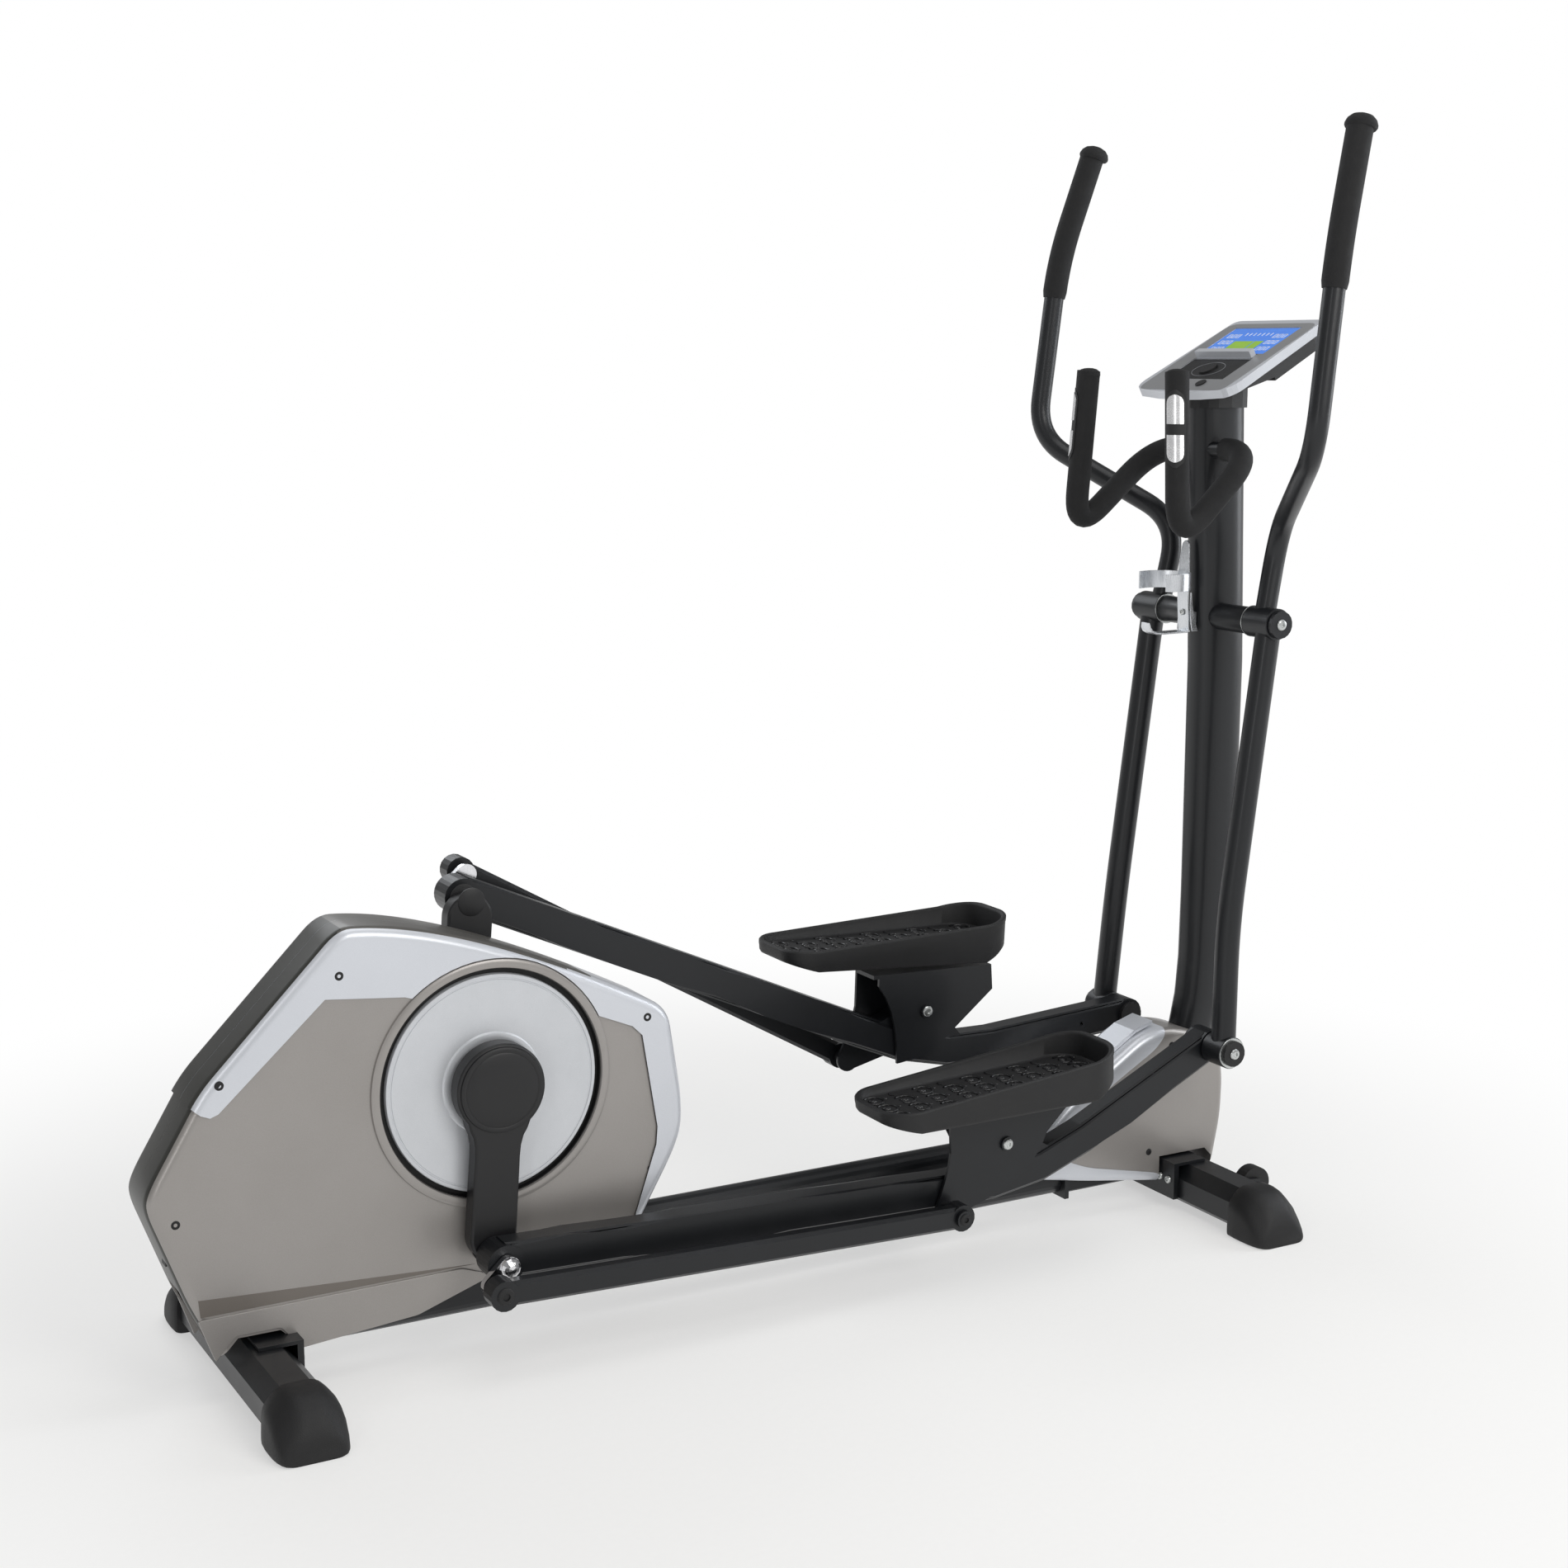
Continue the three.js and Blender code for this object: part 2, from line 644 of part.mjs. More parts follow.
function addHousing() {
  const outer = housingSolid(0, 12);
  const inner = housingSolid(-2.5, 12);
  const band = common(minus(housingSolid(3, 12), housingSolid(GAP, 12)), bandRegion());
  const railWay = box(-950, -100, -27, 27, 0, 152);
  const footWay = loft([-120, 120].map((y) => footRing(REAR_FOOT_X, y, 44, -20, 82, 20)));
  const saddleWay = box(-765, -692, -84, 84, 0, 82);
  for (const side of [RIGHT, LEFT]) {
    const dishWall = crossRod(side, AXLE, 165, RECESS_Y - 3, COVER_HALF_WIDTH, 48);
    const dish = crossRod(side, AXLE, 162, RECESS_Y, COVER_HALF_WIDTH + 20, 48);
    const axleHole = crossRod(side, AXLE, 27, 0, 90, 20);
    const shell = minus(common(outer, halfSpace(side)), inner);
    let cover = minus(union(shell, dishWall), dish, axleHole, railWay, footWay, saddleWay);
    if (side === RIGHT) {
      cover = minus(cover, box(-900, -800, -29.4, -10.6, 190.6, 213.4));
    }
    addPart(`rear_cover_${sideName(side)}`, cover, taupePlastic());

    const trim = minus(common(band, halfSpace(side)), crossRod(side, AXLE, 162, RECESS_Y, 80, 48), railWay);
    addPart(`cover_band_${sideName(side)}`, largest(trim), silverPlastic());
  }
  const inlet = box(-861, -822, -29, -11, 191, 213);
  addPart('power_inlet', inlet, blackPlastic());
}

// drops slivers that a cut leaves beside the main body
function largest(geometry) {
  const pieces = toSolid(geometry).decompose();
  pieces.sort((a, b) => b.volume() - a.volume());
  return toGeometry(pieces[0]);
}

// ---------------------------------------------------------------- drive inside the housing
function addDrive() {
  const plate = new THREE.Shape();
  plate.moveTo(-760, 100);
  plate.lineTo(-470, 100);
  plate.lineTo(-336, 124);
  plate.lineTo(-360, 375);
  plate.absarc(AXLE.x, AXLE.z, 54, 0, 2.2, false);
  plate.lineTo(-640, 345);
  plate.lineTo(-715, 410);
  plate.lineTo(-760, 396);
  plate.lineTo(-720, 280);
  const inside = RAIL.halfWidth + GAP;
  const plates = [RIGHT, LEFT].map((side) => sidePlate(plate, side, inside, inside + 4));
  const bearings = [RIGHT, LEFT].map((side) => crossRod(side, AXLE, 24, inside, 37));
  const flywheelPin = crossRod(LEFT, FLYWHEEL, 8, -inside - 9, inside + 9, 16);
  const rearTie = crossRod(LEFT, { x: -738, z: 400 }, 6, -inside - 8, inside + 8, 16);
  const axleBore = crossRod(LEFT, AXLE, AXLE_RADIUS + 0.4, -60, 60);
  const bracket = minus(union(...plates, ...bearings, flywheelPin, rearTie), axleBore);
  addPart('drive_bracket', bracket, blackSteel());

  const bore = crossRod(LEFT, FLYWHEEL, 8.4, -60, 60, 16);
  const flywheel = minus(
    union(
      crossRod(LEFT, FLYWHEEL, FLYWHEEL.radius, -6, 22, 36),
      crossRod(LEFT, FLYWHEEL, FLYWHEEL_HUB_RADIUS, -23, -5),
    ),
    bore,
    minus(crossRod(LEFT, FLYWHEEL, 88, 14, 40, 24), crossRod(LEFT, FLYWHEEL, 26, 10, 50)),
  );
  addPart('flywheel', flywheel, finish(0x6b6e72, 0.5, 0.9));

  const pulley = minus(
    union(
      crossRod(LEFT, AXLE, PULLEY_RADIUS, PULLEY_Y[0], PULLEY_Y[1], 36),
      crossRod(LEFT, AXLE, 22, -24, 24),
    ),
    crossRod(LEFT, AXLE, AXLE_RADIUS + 0.3, -60, 60),
  );
  addPart('drive_pulley', pulley, blackPlastic());
  addPart('drive_belt', beltLoop(), rubber());

  const motor = box(-535, -480, -20, 20, RAIL.top + GAP, 190);
  addPart('brake_motor', motor, blackPlastic());

  const arc = new THREE.Shape();
  arc.absarc(FLYWHEEL.x, FLYWHEEL.z, 128, 2.27, 3.4, false);
  arc.absarc(FLYWHEEL.x, FLYWHEEL.z, 119, 3.4, 2.27, true);
  const eye = crossRod(LEFT, { x: -738, z: 400 }, 11, -10, 22, 20);
  const yoke = minus(
    union(sidePlate(arc, LEFT, -6, 22, 0, 12), eye),
    crossRod(LEFT, { x: -738, z: 400 }, 6.4, -40, 40, 16),
  );
  addPart('magnet_bracket', yoke, blackSteel());
}

// the flat belt round the pulley and the flywheel's hub, as one closed loop
function beltOutline(extra) {
  const dx = FLYWHEEL.x - AXLE.x;
  const dz = FLYWHEEL.z - AXLE.z;
  const distance = Math.hypot(dx, dz);
  const heading = Math.atan2(dz, dx);
  const spread = Math.acos((PULLEY_RADIUS - FLYWHEEL_HUB_RADIUS) / distance);
  const points = [];
  const steps = 14;
  for (let i = 0; i <= 2 * steps; i += 1) {
    const angle = heading + spread + (i / (2 * steps)) * (2 * Math.PI - 2 * spread);
    const radius = PULLEY_RADIUS + extra;
    points.push([AXLE.x + radius * Math.cos(angle), AXLE.z + radius * Math.sin(angle)]);
  }
  for (let i = 0; i <= steps / 2; i += 1) {
    const angle = heading - spread + (i / (steps / 2)) * 2 * spread;
    const radius = FLYWHEEL_HUB_RADIUS + extra;
    points.push([FLYWHEEL.x + radius * Math.cos(angle), FLYWHEEL.z + radius * Math.sin(angle)]);
  }
  return polygon(points);
}

function beltLoop() {
  const whole = sidePlate(beltOutline(3.6), LEFT, PULLEY_Y[0] + 1, PULLEY_Y[1] - 1);
  const hollow = sidePlate(beltOutline(0.9), LEFT, PULLEY_Y[0] - 5, PULLEY_Y[1] + 5);
  return minus(whole, hollow);
}

// ---------------------------------------------------------------- crank set
function crankEnd(side) {
  const turn = side === RIGHT ? CRANK_ANGLE : CRANK_ANGLE + Math.PI;
  return { x: AXLE.x + CRANK_THROW * Math.cos(turn), z: AXLE.z + CRANK_THROW * Math.sin(turn), turn };
}

function addCranks() {
  addPart('crank_axle', crossRod(LEFT, AXLE, AXLE_RADIUS, -78, 78), brightSteel());
  for (const side of [RIGHT, LEFT]) {
    const disc = minus(
      crossRod(side, AXLE, DISC_RADIUS, DISC_Y[0], DISC_Y[1], 40),
      crossRod(side, AXLE, AXLE_RADIUS + 0.4, 20, 90),
    );
    addPart(`crank_disc_${sideName(side)}`, disc, silverPlastic());

    const shape = new THREE.Shape();
    shape.moveTo(57, 39);
    shape.quadraticCurveTo(78, 36, 102, 36);
    shape.lineTo(CRANK_THROW, 37);
    shape.absarc(CRANK_THROW, 0, 37, Math.PI / 2, -Math.PI / 2, true);
    shape.lineTo(102, -36);
    shape.quadraticCurveTo(78, -36, 57, -39);
    shape.absarc(0, 0, 69, -0.601, 0.601, true);
    const end = crankEnd(side);
    const blade = sidePlate(shape, LEFT, CRANK_Y[0], CRANK_Y[1], 3, 6);
    const arm = blade
      .applyMatrix4(new THREE.Matrix4().makeRotationY(-end.turn))
      .translate(AXLE.x, side === RIGHT ? -(CRANK_Y[0] + CRANK_Y[1]) : 0, AXLE.z);
    const whole = minus(
      union(
        arm,
        crossRod(side, AXLE, 30, DISC_Y[1] + GAP, CRANK_Y[0] + 2),
        crossRod(side, AXLE, 59, CRANK_Y[1] - 2, CRANK_Y[1] + 2, 32),
      ),
      crossRod(side, AXLE, AXLE_RADIUS + 0.4, 30, 79),
    );
    addPart(`crank_arm_${sideName(side)}`, whole, blackSteel());
  }
}

// ---------------------------------------------------------------- pedal bars and links
// a pedal bar lies along the line from its crank end to its lower pivot
function barFrame(side) {
  const end = crankEnd(side);
  const dx = LOWER_PIVOT.x - end.x;
  const dz = LOWER_PIVOT.z - end.z;
  return { end, length: Math.hypot(dx, dz), pitch: Math.atan2(dz, dx) };
}

// turns a geometry drawn with the lower pivot at its origin and the bar along -X into its place
function onBar(geometry, side) {
  return geometry.rotateY(-barFrame(side).pitch).translate(LOWER_PIVOT.x, 0, LOWER_PIVOT.z);
}

function bracketBolt(side) {
  const { pitch } = barFrame(side);
  const { along, above } = BRACKET_BOLT;
  return {
    x: LOWER_PIVOT.x - along * Math.cos(pitch) - above * Math.sin(pitch),
    z: LOWER_PIVOT.z - along * Math.sin(pitch) + above * Math.cos(pitch),
  };
}

// a point of the pedal bracket, given from its bolt with the pedal level
function onPedal(side, point) {
  const bolt = bracketBolt(side);
  const turn = THREE.MathUtils.degToRad(PEDAL_PITCH[side]);
  return {
    x: bolt.x + point.x * Math.cos(turn) + point.z * Math.sin(turn),
    z: bolt.z - point.x * Math.sin(turn) + point.z * Math.cos(turn),
  };
}

function returnCrankEye(side) {
  const end = crankEnd(side);
  const turn = side === RIGHT ? RETURN_ANGLE : RETURN_ANGLE + Math.PI;
  return { x: end.x + RETURN_THROW * Math.cos(turn), z: end.z + RETURN_THROW * Math.sin(turn), turn };
}

function barPath(length) {
  const path = new THREE.CurvePath();
  const bend = new THREE.Vector2(-342, -118);
  const before = new THREE.Vector2(-440, -109);
  const after = new THREE.Vector2(-258, -89);
  path.add(new THREE.LineCurve(new THREE.Vector2(-length, 4), before));
  path.add(new THREE.QuadraticBezierCurve(before, bend, after));
  path.add(new THREE.LineCurve(after, new THREE.Vector2(0, 0)));
  return path;
}

function addPedalBars() {
  for (const side of [RIGHT, LEFT]) {
    const { length } = barFrame(side);
    const path = barPath(length);
    const bar = minus(
      sidePlate(ribbon(path, 25, 14), side, BAR_Y[0], BAR_Y[1], 6),
      sidePlate(ribbon(path, 25 - TUBE_WALL, 14), side, BAR_Y[0] + TUBE_WALL, BAR_Y[1] - TUBE_WALL),
    );
    const wedge = polygon([
      [-478, -86], [-452, -66], [-418, -32], [-384, -30], [-300, -92], [-300, -104], [-478, -108],
    ]);
    const crankEndPoint = { x: -length, z: 0 };
    const boltPoint = { x: -BRACKET_BOLT.along, z: BRACKET_BOLT.above };
    const pivotPoint = { x: 0, z: 0 };
    const ventPoint = { x: -90, z: -30 };
    const solid = minus(
      union(
        bar,
        sidePlate(wedge, side, BAR_Y[0] + 4, BAR_Y[1] - 4),
        crossRod(side, boltPoint, 15, BAR_Y[0], BAR_Y[1]),
        crossRod(side, crankEndPoint, 27, BAR_Y[0], BAR_Y[1] + 2, 28),
        crossRod(side, pivotPoint, 25, BAR_Y[0], BAR_Y[1]),
      ),
      crossRod(side, crankEndPoint, 12.5, 60, 150),
      crossRod(side, boltPoint, 7.4, 60, 150, 16),
      crossRod(side, pivotPoint, PIVOT_RADIUS + 0.4, 60, 150),
      crossRod(side, ventPoint, VENT_RADIUS, BAR_Y[0] - 2, BAR_Y[0] + 6, 10),
    );
    addPart(`pedal_bar_${sideName(side)}`, onBar(solid, side), blackSteel());

    const pin = union(
      crossRod(side, LOWER_PIVOT, PIVOT_RADIUS, 82, 181),
      crossRod(side, LOWER_PIVOT, 20, 80.5, 87.3),
      crossRod(side, LOWER_PIVOT, 20, 176, 182),
    );
    addPart(`lower_pivot_pin_${sideName(side)}`, pin, blackSteel());
  }
}

function addReturnCranks() {
  for (const side of [RIGHT, LEFT]) {
    const end = crankEnd(side);
    const eye = returnCrankEye(side);
    const web = new THREE.Shape();
    web.absarc(0, 0, 15, Math.PI / 2, (3 * Math.PI) / 2, false);
    web.absarc(RETURN_THROW, 0, 15, -Math.PI / 2, Math.PI / 2, false);
    const drawn = sidePlate(web, side, RETURN_CRANK_Y[0], RETURN_CRANK_Y[1], 0, 10);
    const placed = drawn.rotateY(-eye.turn).translate(end.x, 0, end.z);
    const dome = new THREE.SphereGeometry(15, 12, 8).scale(1, 0.7, 1)
      .translate(end.x, side * RETURN_CRANK_Y[1], end.z);
    const pin = crossRod(side, end, 12, CRANK_Y[1] + 3, RETURN_CRANK_Y[0] + 2);
    addPart(`return_crank_${sideName(side)}`, union(placed, dome, pin), brightSteel());
  }
}

function addLinks() {
  for (const side of [RIGHT, LEFT]) {
    const rear = returnCrankEye(side);
    const front = onPedal(side, LINK_EYE);
    const rearEye = new THREE.Vector2(rear.x, rear.z);
    const line = new THREE.LineCurve(rearEye, new THREE.Vector2(front.x, front.z));
    const tube = minus(
      sidePlate(ribbon(line, 17, 1), side, LINK_Y[0], LINK_Y[1], 5),
      sidePlate(ribbon(line, 17 - TUBE_WALL, 1), side, LINK_Y[0] + TUBE_WALL, LINK_Y[1] - TUBE_WALL),
    );
    const middle = { x: (rear.x + front.x) / 2, z: (rear.z + front.z) / 2 };
    const link = minus(
      union(
        tube,
        crossRod(side, rear, 21, LINK_Y[0] - 1, LINK_Y[1] + 3),
        crossRod(side, front, 20, LINK_Y[0] - 1, LINK_Y[1]),
      ),
      crossRod(side, front, 8.4, 140, 200, 16),
      crossRod(side, middle, VENT_RADIUS, LINK_Y[0] - 2, LINK_Y[0] + 6, 10),
    );
    addPart(`thin_link_${sideName(side)}`, link, blackSteel());
  }
}

// ---------------------------------------------------------------- pedals
function placeOnPedal(geometry, side) {
  const bolt = bracketBolt(side);
  return geometry.rotateY(THREE.MathUtils.degToRad(PEDAL_PITCH[side])).translate(bolt.x, 0, bolt.z);
}

function addPedalBrackets() {
  const outer = new THREE.Shape();
  outer.moveTo(-98, 64);
  outer.lineTo(-98, 4);
  outer.quadraticCurveTo(-104, -30, LINK_EYE.x - 18, LINK_EYE.z + 6);
  outer.absarc(LINK_EYE.x, LINK_EYE.z, 19, Math.PI - 0.3, 2 * Math.PI - 0.9, false);
  outer.lineTo(-10, -72);
  outer.quadraticCurveTo(50, -50, 74, 4);
  outer.lineTo(122, 46);
  outer.lineTo(124, 64);
  const inner = new THREE.Shape();
  inner.moveTo(-88, 64);
  inner.lineTo(-88, 46);
  inner.quadraticCurveTo(-52, 4, -50, -80);
  inner.lineTo(8, -72);
  inner.lineTo(122, 24);
  inner.lineTo(118, 64);
  for (const side of [RIGHT, LEFT]) {
    const bolt = { x: 0, z: 0 };
    const plateTop = polygon([[-98, 58], [118, 58], [118, 64], [-98, 64]]);
    const bracket = union(
      sidePlate(outer, side, OUTER_PLATE_Y[0], OUTER_PLATE_Y[1], 0, 5),
      sidePlate(inner, side, INNER_PLATE_Y[0], INNER_PLATE_Y[1], 0, 5),
      sidePlate(plateTop, side, INNER_PLATE_Y[0], OUTER_PLATE_Y[1]),
      crossRod(side, bolt, 7, 76, 139, 16),
      crossRod(side, bolt, 11, 76, 81, 16),
      crossRod(side, bolt, 11, 135, 140, 16),
      crossRod(side, LINK_EYE, 8, 134, 184, 16),
      crossRod(side, LINK_EYE, 12, 134, 153, 20),
      crossRod(side, LINK_EYE, 13, 181, 186, 20),
    );
    addPart(`pedal_bracket_${sideName(side)}`, placeOnPedal(bracket, side), blackSteel());
  }
}

// the pedal's outline in X and in distance from the centre plane
function pedalShape(inset) {
  const [x0, x1] = [-243 + inset, 162 - inset];
  const [y0, y1] = [PEDAL_Y[0] + inset, PEDAL_Y[1] - inset];
  const shape = new THREE.Shape();
  shape.moveTo(x0, y0 + 44);
  shape.quadraticCurveTo(x0 + 4, y0 + 10, x0 + 50, y0 + 4);
  shape.lineTo(x1 - 80, y0);
  shape.quadraticCurveTo(x1 - 6, y0, x1, y0 + 56);
  shape.lineTo(x1, y1 - 56);
  shape.quadraticCurveTo(x1 - 6, y1, x1 - 80, y1);
  shape.lineTo(x0 + 50, y1 - 4);
  shape.quadraticCurveTo(x0 + 4, y1 - 10, x0, y1 - 44);
  return shape;
}

function pedalSlab(inset, z0, z1) {
  return new THREE.ExtrudeGeometry(pedalShape(inset), {
    depth: z1 - z0,
    steps: 1,
    curveSegments: 6,
    bevelEnabled: false,
  }).translate(0, 0, z0);
}

function addPedals() {
  const above = polygon([[-260, 112], [-60, 117], [60, 126], [180, 150], [180, 220], [-260, 220]]);
  const underRear = polygon([[-260, 50], [-150, 50], [-186, 76], [-260, 90]]);
  const underFront = polygon([[96, 50], [180, 50], [180, 98], [124, 76]]);
  for (const side of [RIGHT, LEFT]) {
    const cutters = [above, underRear, underFront].map((shape) => sidePlate(shape, side, 0, 400));
    const tray = minus(pedalSlab(0, 64.4, 160), pedalSlab(7, 84, 200));
    const turned = side === RIGHT ? tray.applyMatrix4(new THREE.Matrix4().makeScale(1, -1, 1)) : tray;
    const pedal = minus(facingOut(turned), ...cutters);
    addPart(`pedal_${sideName(side)}`, placeOnPedal(pedal, side), blackPlastic());
  }
}

// ---------------------------------------------------------------- swing arms and handles
function addSwingArms() {
  for (const side of [RIGHT, LEFT]) {
    const path = roundedPath([
      new THREE.Vector3(MAST_PIVOT.x, side * 143, MAST_PIVOT.z - 10),
      new THREE.Vector3(MAST_PIVOT.x - 60, side * 143, 478),
      new THREE.Vector3(LOWER_PIVOT.x, side * 154, LOWER_PIVOT.z + 12),
    ], 70);
    const tube = minus(sweep(path, ARM_RADIUS, 10, 10), sweep(path, ARM_RADIUS - TUBE_WALL, 10, 10));
    const arm = minus(
      union(
        tube,
        crossRod(side, MAST_PIVOT, 24, MAST_SLEEVE_Y[0], MAST_SLEEVE_Y[1]),
        crossRod(side, LOWER_PIVOT, 25, ARM_SLEEVE_Y[0], ARM_SLEEVE_Y[1]),
      ),
      crossRod(side, MAST_PIVOT, 12.4, 90, 190),
      crossRod(side, LOWER_PIVOT, PIVOT_RADIUS + 0.4, 90, 190),
      crossRod(side, { x: 783, z: 560 }, VENT_RADIUS, 118, 134, 10),
    );
    addPart(`swing_arm_${sideName(side)}`, arm, blackSteel());
  }
}

function handlePath(side, topShort, footOverrun = 0) {
  const top = new THREE.Vector3(819, side * 317, 1668);
  const curve = new THREE.Vector3(770, side * 338, 1500);
  const shoulder = new THREE.Vector3(735, side * 343, 1212);
  const root = new THREE.Vector3(863, side * 124, 1082);
  const foot = new THREE.Vector3(838, side * 128, MAST_PIVOT.z + 27);
  const end = top.clone().lerp(curve, topShort / top.distanceTo(curve));
  const start = foot.clone().lerp(root, -footOverrun);
  return roundedPath([start, root, shoulder, curve, end], 62);
}

function addHandles() {
  for (const side of [RIGHT, LEFT]) {
    const tube = minus(
      sweep(handlePath(side, 14), HANDLE_RADIUS, 10, 22),
      sweep(handlePath(side, 17, 0.2), HANDLE_RADIUS - TUBE_WALL, 10, 22),
      crossRod(side, MAST_PIVOT, 24 + GAP, 90, 190),
    );
    addPart(`handle_${sideName(side)}`, tube, blackSteel());
    const region = box(600, 1000, -500, 500, 1440, 1800);
    const skin = common(sweep(handlePath(side, 0), GRIP_RADIUS, 12, 22), region);
    const core = sweep(handlePath(side, 14 - GAP), HANDLE_RADIUS + 2 * GAP, 10, 22);
    const cap = new THREE.SphereGeometry(24, 14, 6).scale(1, 1, 0.6).translate(819, side * 317, 1672);
    addPart(`handle_grip_${sideName(side)}`, union(minus(skin, core), cap), blackFoam());
  }
}

// ---------------------------------------------------------------- assembly
addRails();
addFeet();
addMast();
addFixedHandlebar();
addConsole();
addBottleCage();
addShroud();
addHousing();
addDrive();
addCranks();
addPedalBars();
addReturnCranks();
addLinks();
addPedalBrackets();
addPedals();
addSwingArms();
addHandles();

export default machine;
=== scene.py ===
"""Elliptical trainer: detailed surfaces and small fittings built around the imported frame."""
import json
import math

import bmesh
import bpy
from mathutils import Matrix, Vector


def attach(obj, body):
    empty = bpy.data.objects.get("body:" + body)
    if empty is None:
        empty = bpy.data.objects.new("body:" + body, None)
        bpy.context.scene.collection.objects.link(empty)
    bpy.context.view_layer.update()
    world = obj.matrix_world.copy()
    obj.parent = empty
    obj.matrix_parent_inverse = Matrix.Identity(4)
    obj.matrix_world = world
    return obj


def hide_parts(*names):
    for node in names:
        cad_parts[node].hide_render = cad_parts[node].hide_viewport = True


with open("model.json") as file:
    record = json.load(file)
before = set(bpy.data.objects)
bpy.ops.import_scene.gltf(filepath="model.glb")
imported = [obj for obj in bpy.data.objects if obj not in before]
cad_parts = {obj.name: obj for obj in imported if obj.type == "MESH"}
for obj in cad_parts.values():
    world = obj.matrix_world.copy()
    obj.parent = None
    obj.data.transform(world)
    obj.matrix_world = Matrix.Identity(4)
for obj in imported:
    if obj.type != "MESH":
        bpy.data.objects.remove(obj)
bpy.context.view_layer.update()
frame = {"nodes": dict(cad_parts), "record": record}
SIDES = {"right": -1, "left": 1}

# ---------------------------------------------------------------- camera, light and floor
# A long lens at standing eye height, behind and to the right of the machine.
# Five large soft panels and a pale world give broad, cool highlights on the black tubes.
camera_data = bpy.data.cameras.new("camera")
camera_data.lens = 55.3
camera_data.sensor_width = 36
camera_data.clip_end = 60
camera = bpy.data.objects.new("camera", camera_data)
bpy.context.collection.objects.link(camera)
camera.location = (-1.6275, -2.9884, 1.347)
heading = math.radians(60.99)
dip = math.radians(10.11)
look = Vector((math.cos(heading) * math.cos(dip), math.sin(heading) * math.cos(dip), -math.sin(dip)))
camera.rotation_euler = look.to_track_quat("-Z", "Y").to_euler()
bpy.context.scene.camera = camera


def panel(name, place, target, size, watts, colour):
    data = bpy.data.lights.new(name, "AREA")
    data.shape = "RECTANGLE"
    data.size = size[0]
    data.size_y = size[1]
    data.energy = watts
    data.color = colour
    light = bpy.data.objects.new(name, data)
    bpy.context.collection.objects.link(light)
    light.location = place
    light.rotation_euler = (Vector(target) - Vector(place)).to_track_quat("-Z", "Y").to_euler()


panel("key_panel", (0.9, -3.6, 2.6), (-0.2, 0, 0.6), (2.2, 1.6), 62, (1, 0.99, 0.97))
panel("side_panel", (3.2, -0.8, 1.9), (0.2, 0, 0.8), (1.0, 2.6), 38, (0.93, 0.96, 1))
panel("back_panel", (-0.6, 3.2, 2.6), (0, 0, 0.7), (3.0, 1.4), 36, (0.93, 0.96, 1))
panel("rider_panel", (-2.9, -2.6, 1.7), (0.6, 0, 1.1), (0.5, 2.2), 16, (1, 1, 1))
panel("top_panel", (0.2, -0.4, 4.2), (0, 0, 0), (3.0, 1.8), 34, (1, 1, 1))

world = bpy.data.worlds.new("studio")
bpy.context.scene.world = world
world.use_nodes = True
world.node_tree.nodes["Background"].inputs["Color"].default_value = (1, 1, 1, 1)
seen = world.node_tree.nodes.new("ShaderNodeLightPath")
strength = world.node_tree.nodes.new("ShaderNodeMapRange")
strength.inputs["To Min"].default_value = 0.3
strength.inputs["To Max"].default_value = 1.0
world_links = world.node_tree.links
world_links.new(seen.outputs["Is Camera Ray"], strength.inputs["Value"])
world_links.new(strength.outputs["Result"], world.node_tree.nodes["Background"].inputs["Strength"])
bpy.context.scene.view_settings.view_transform = "Standard"


def add_node(tree, kind, **values):
    node = tree.nodes.new(kind)
    for key, value in values.items():
        if key in node.inputs:
            node.inputs[key].default_value = value
        else:
            setattr(node, key, value)
    return node


def linear(code):
    channels = [int(code[i:i + 2], 16) / 255 for i in (1, 3, 5)]
    return tuple(c / 12.92 if c <= 0.04045 else ((c + 0.055) / 1.055) ** 2.4 for c in channels) + (1,)


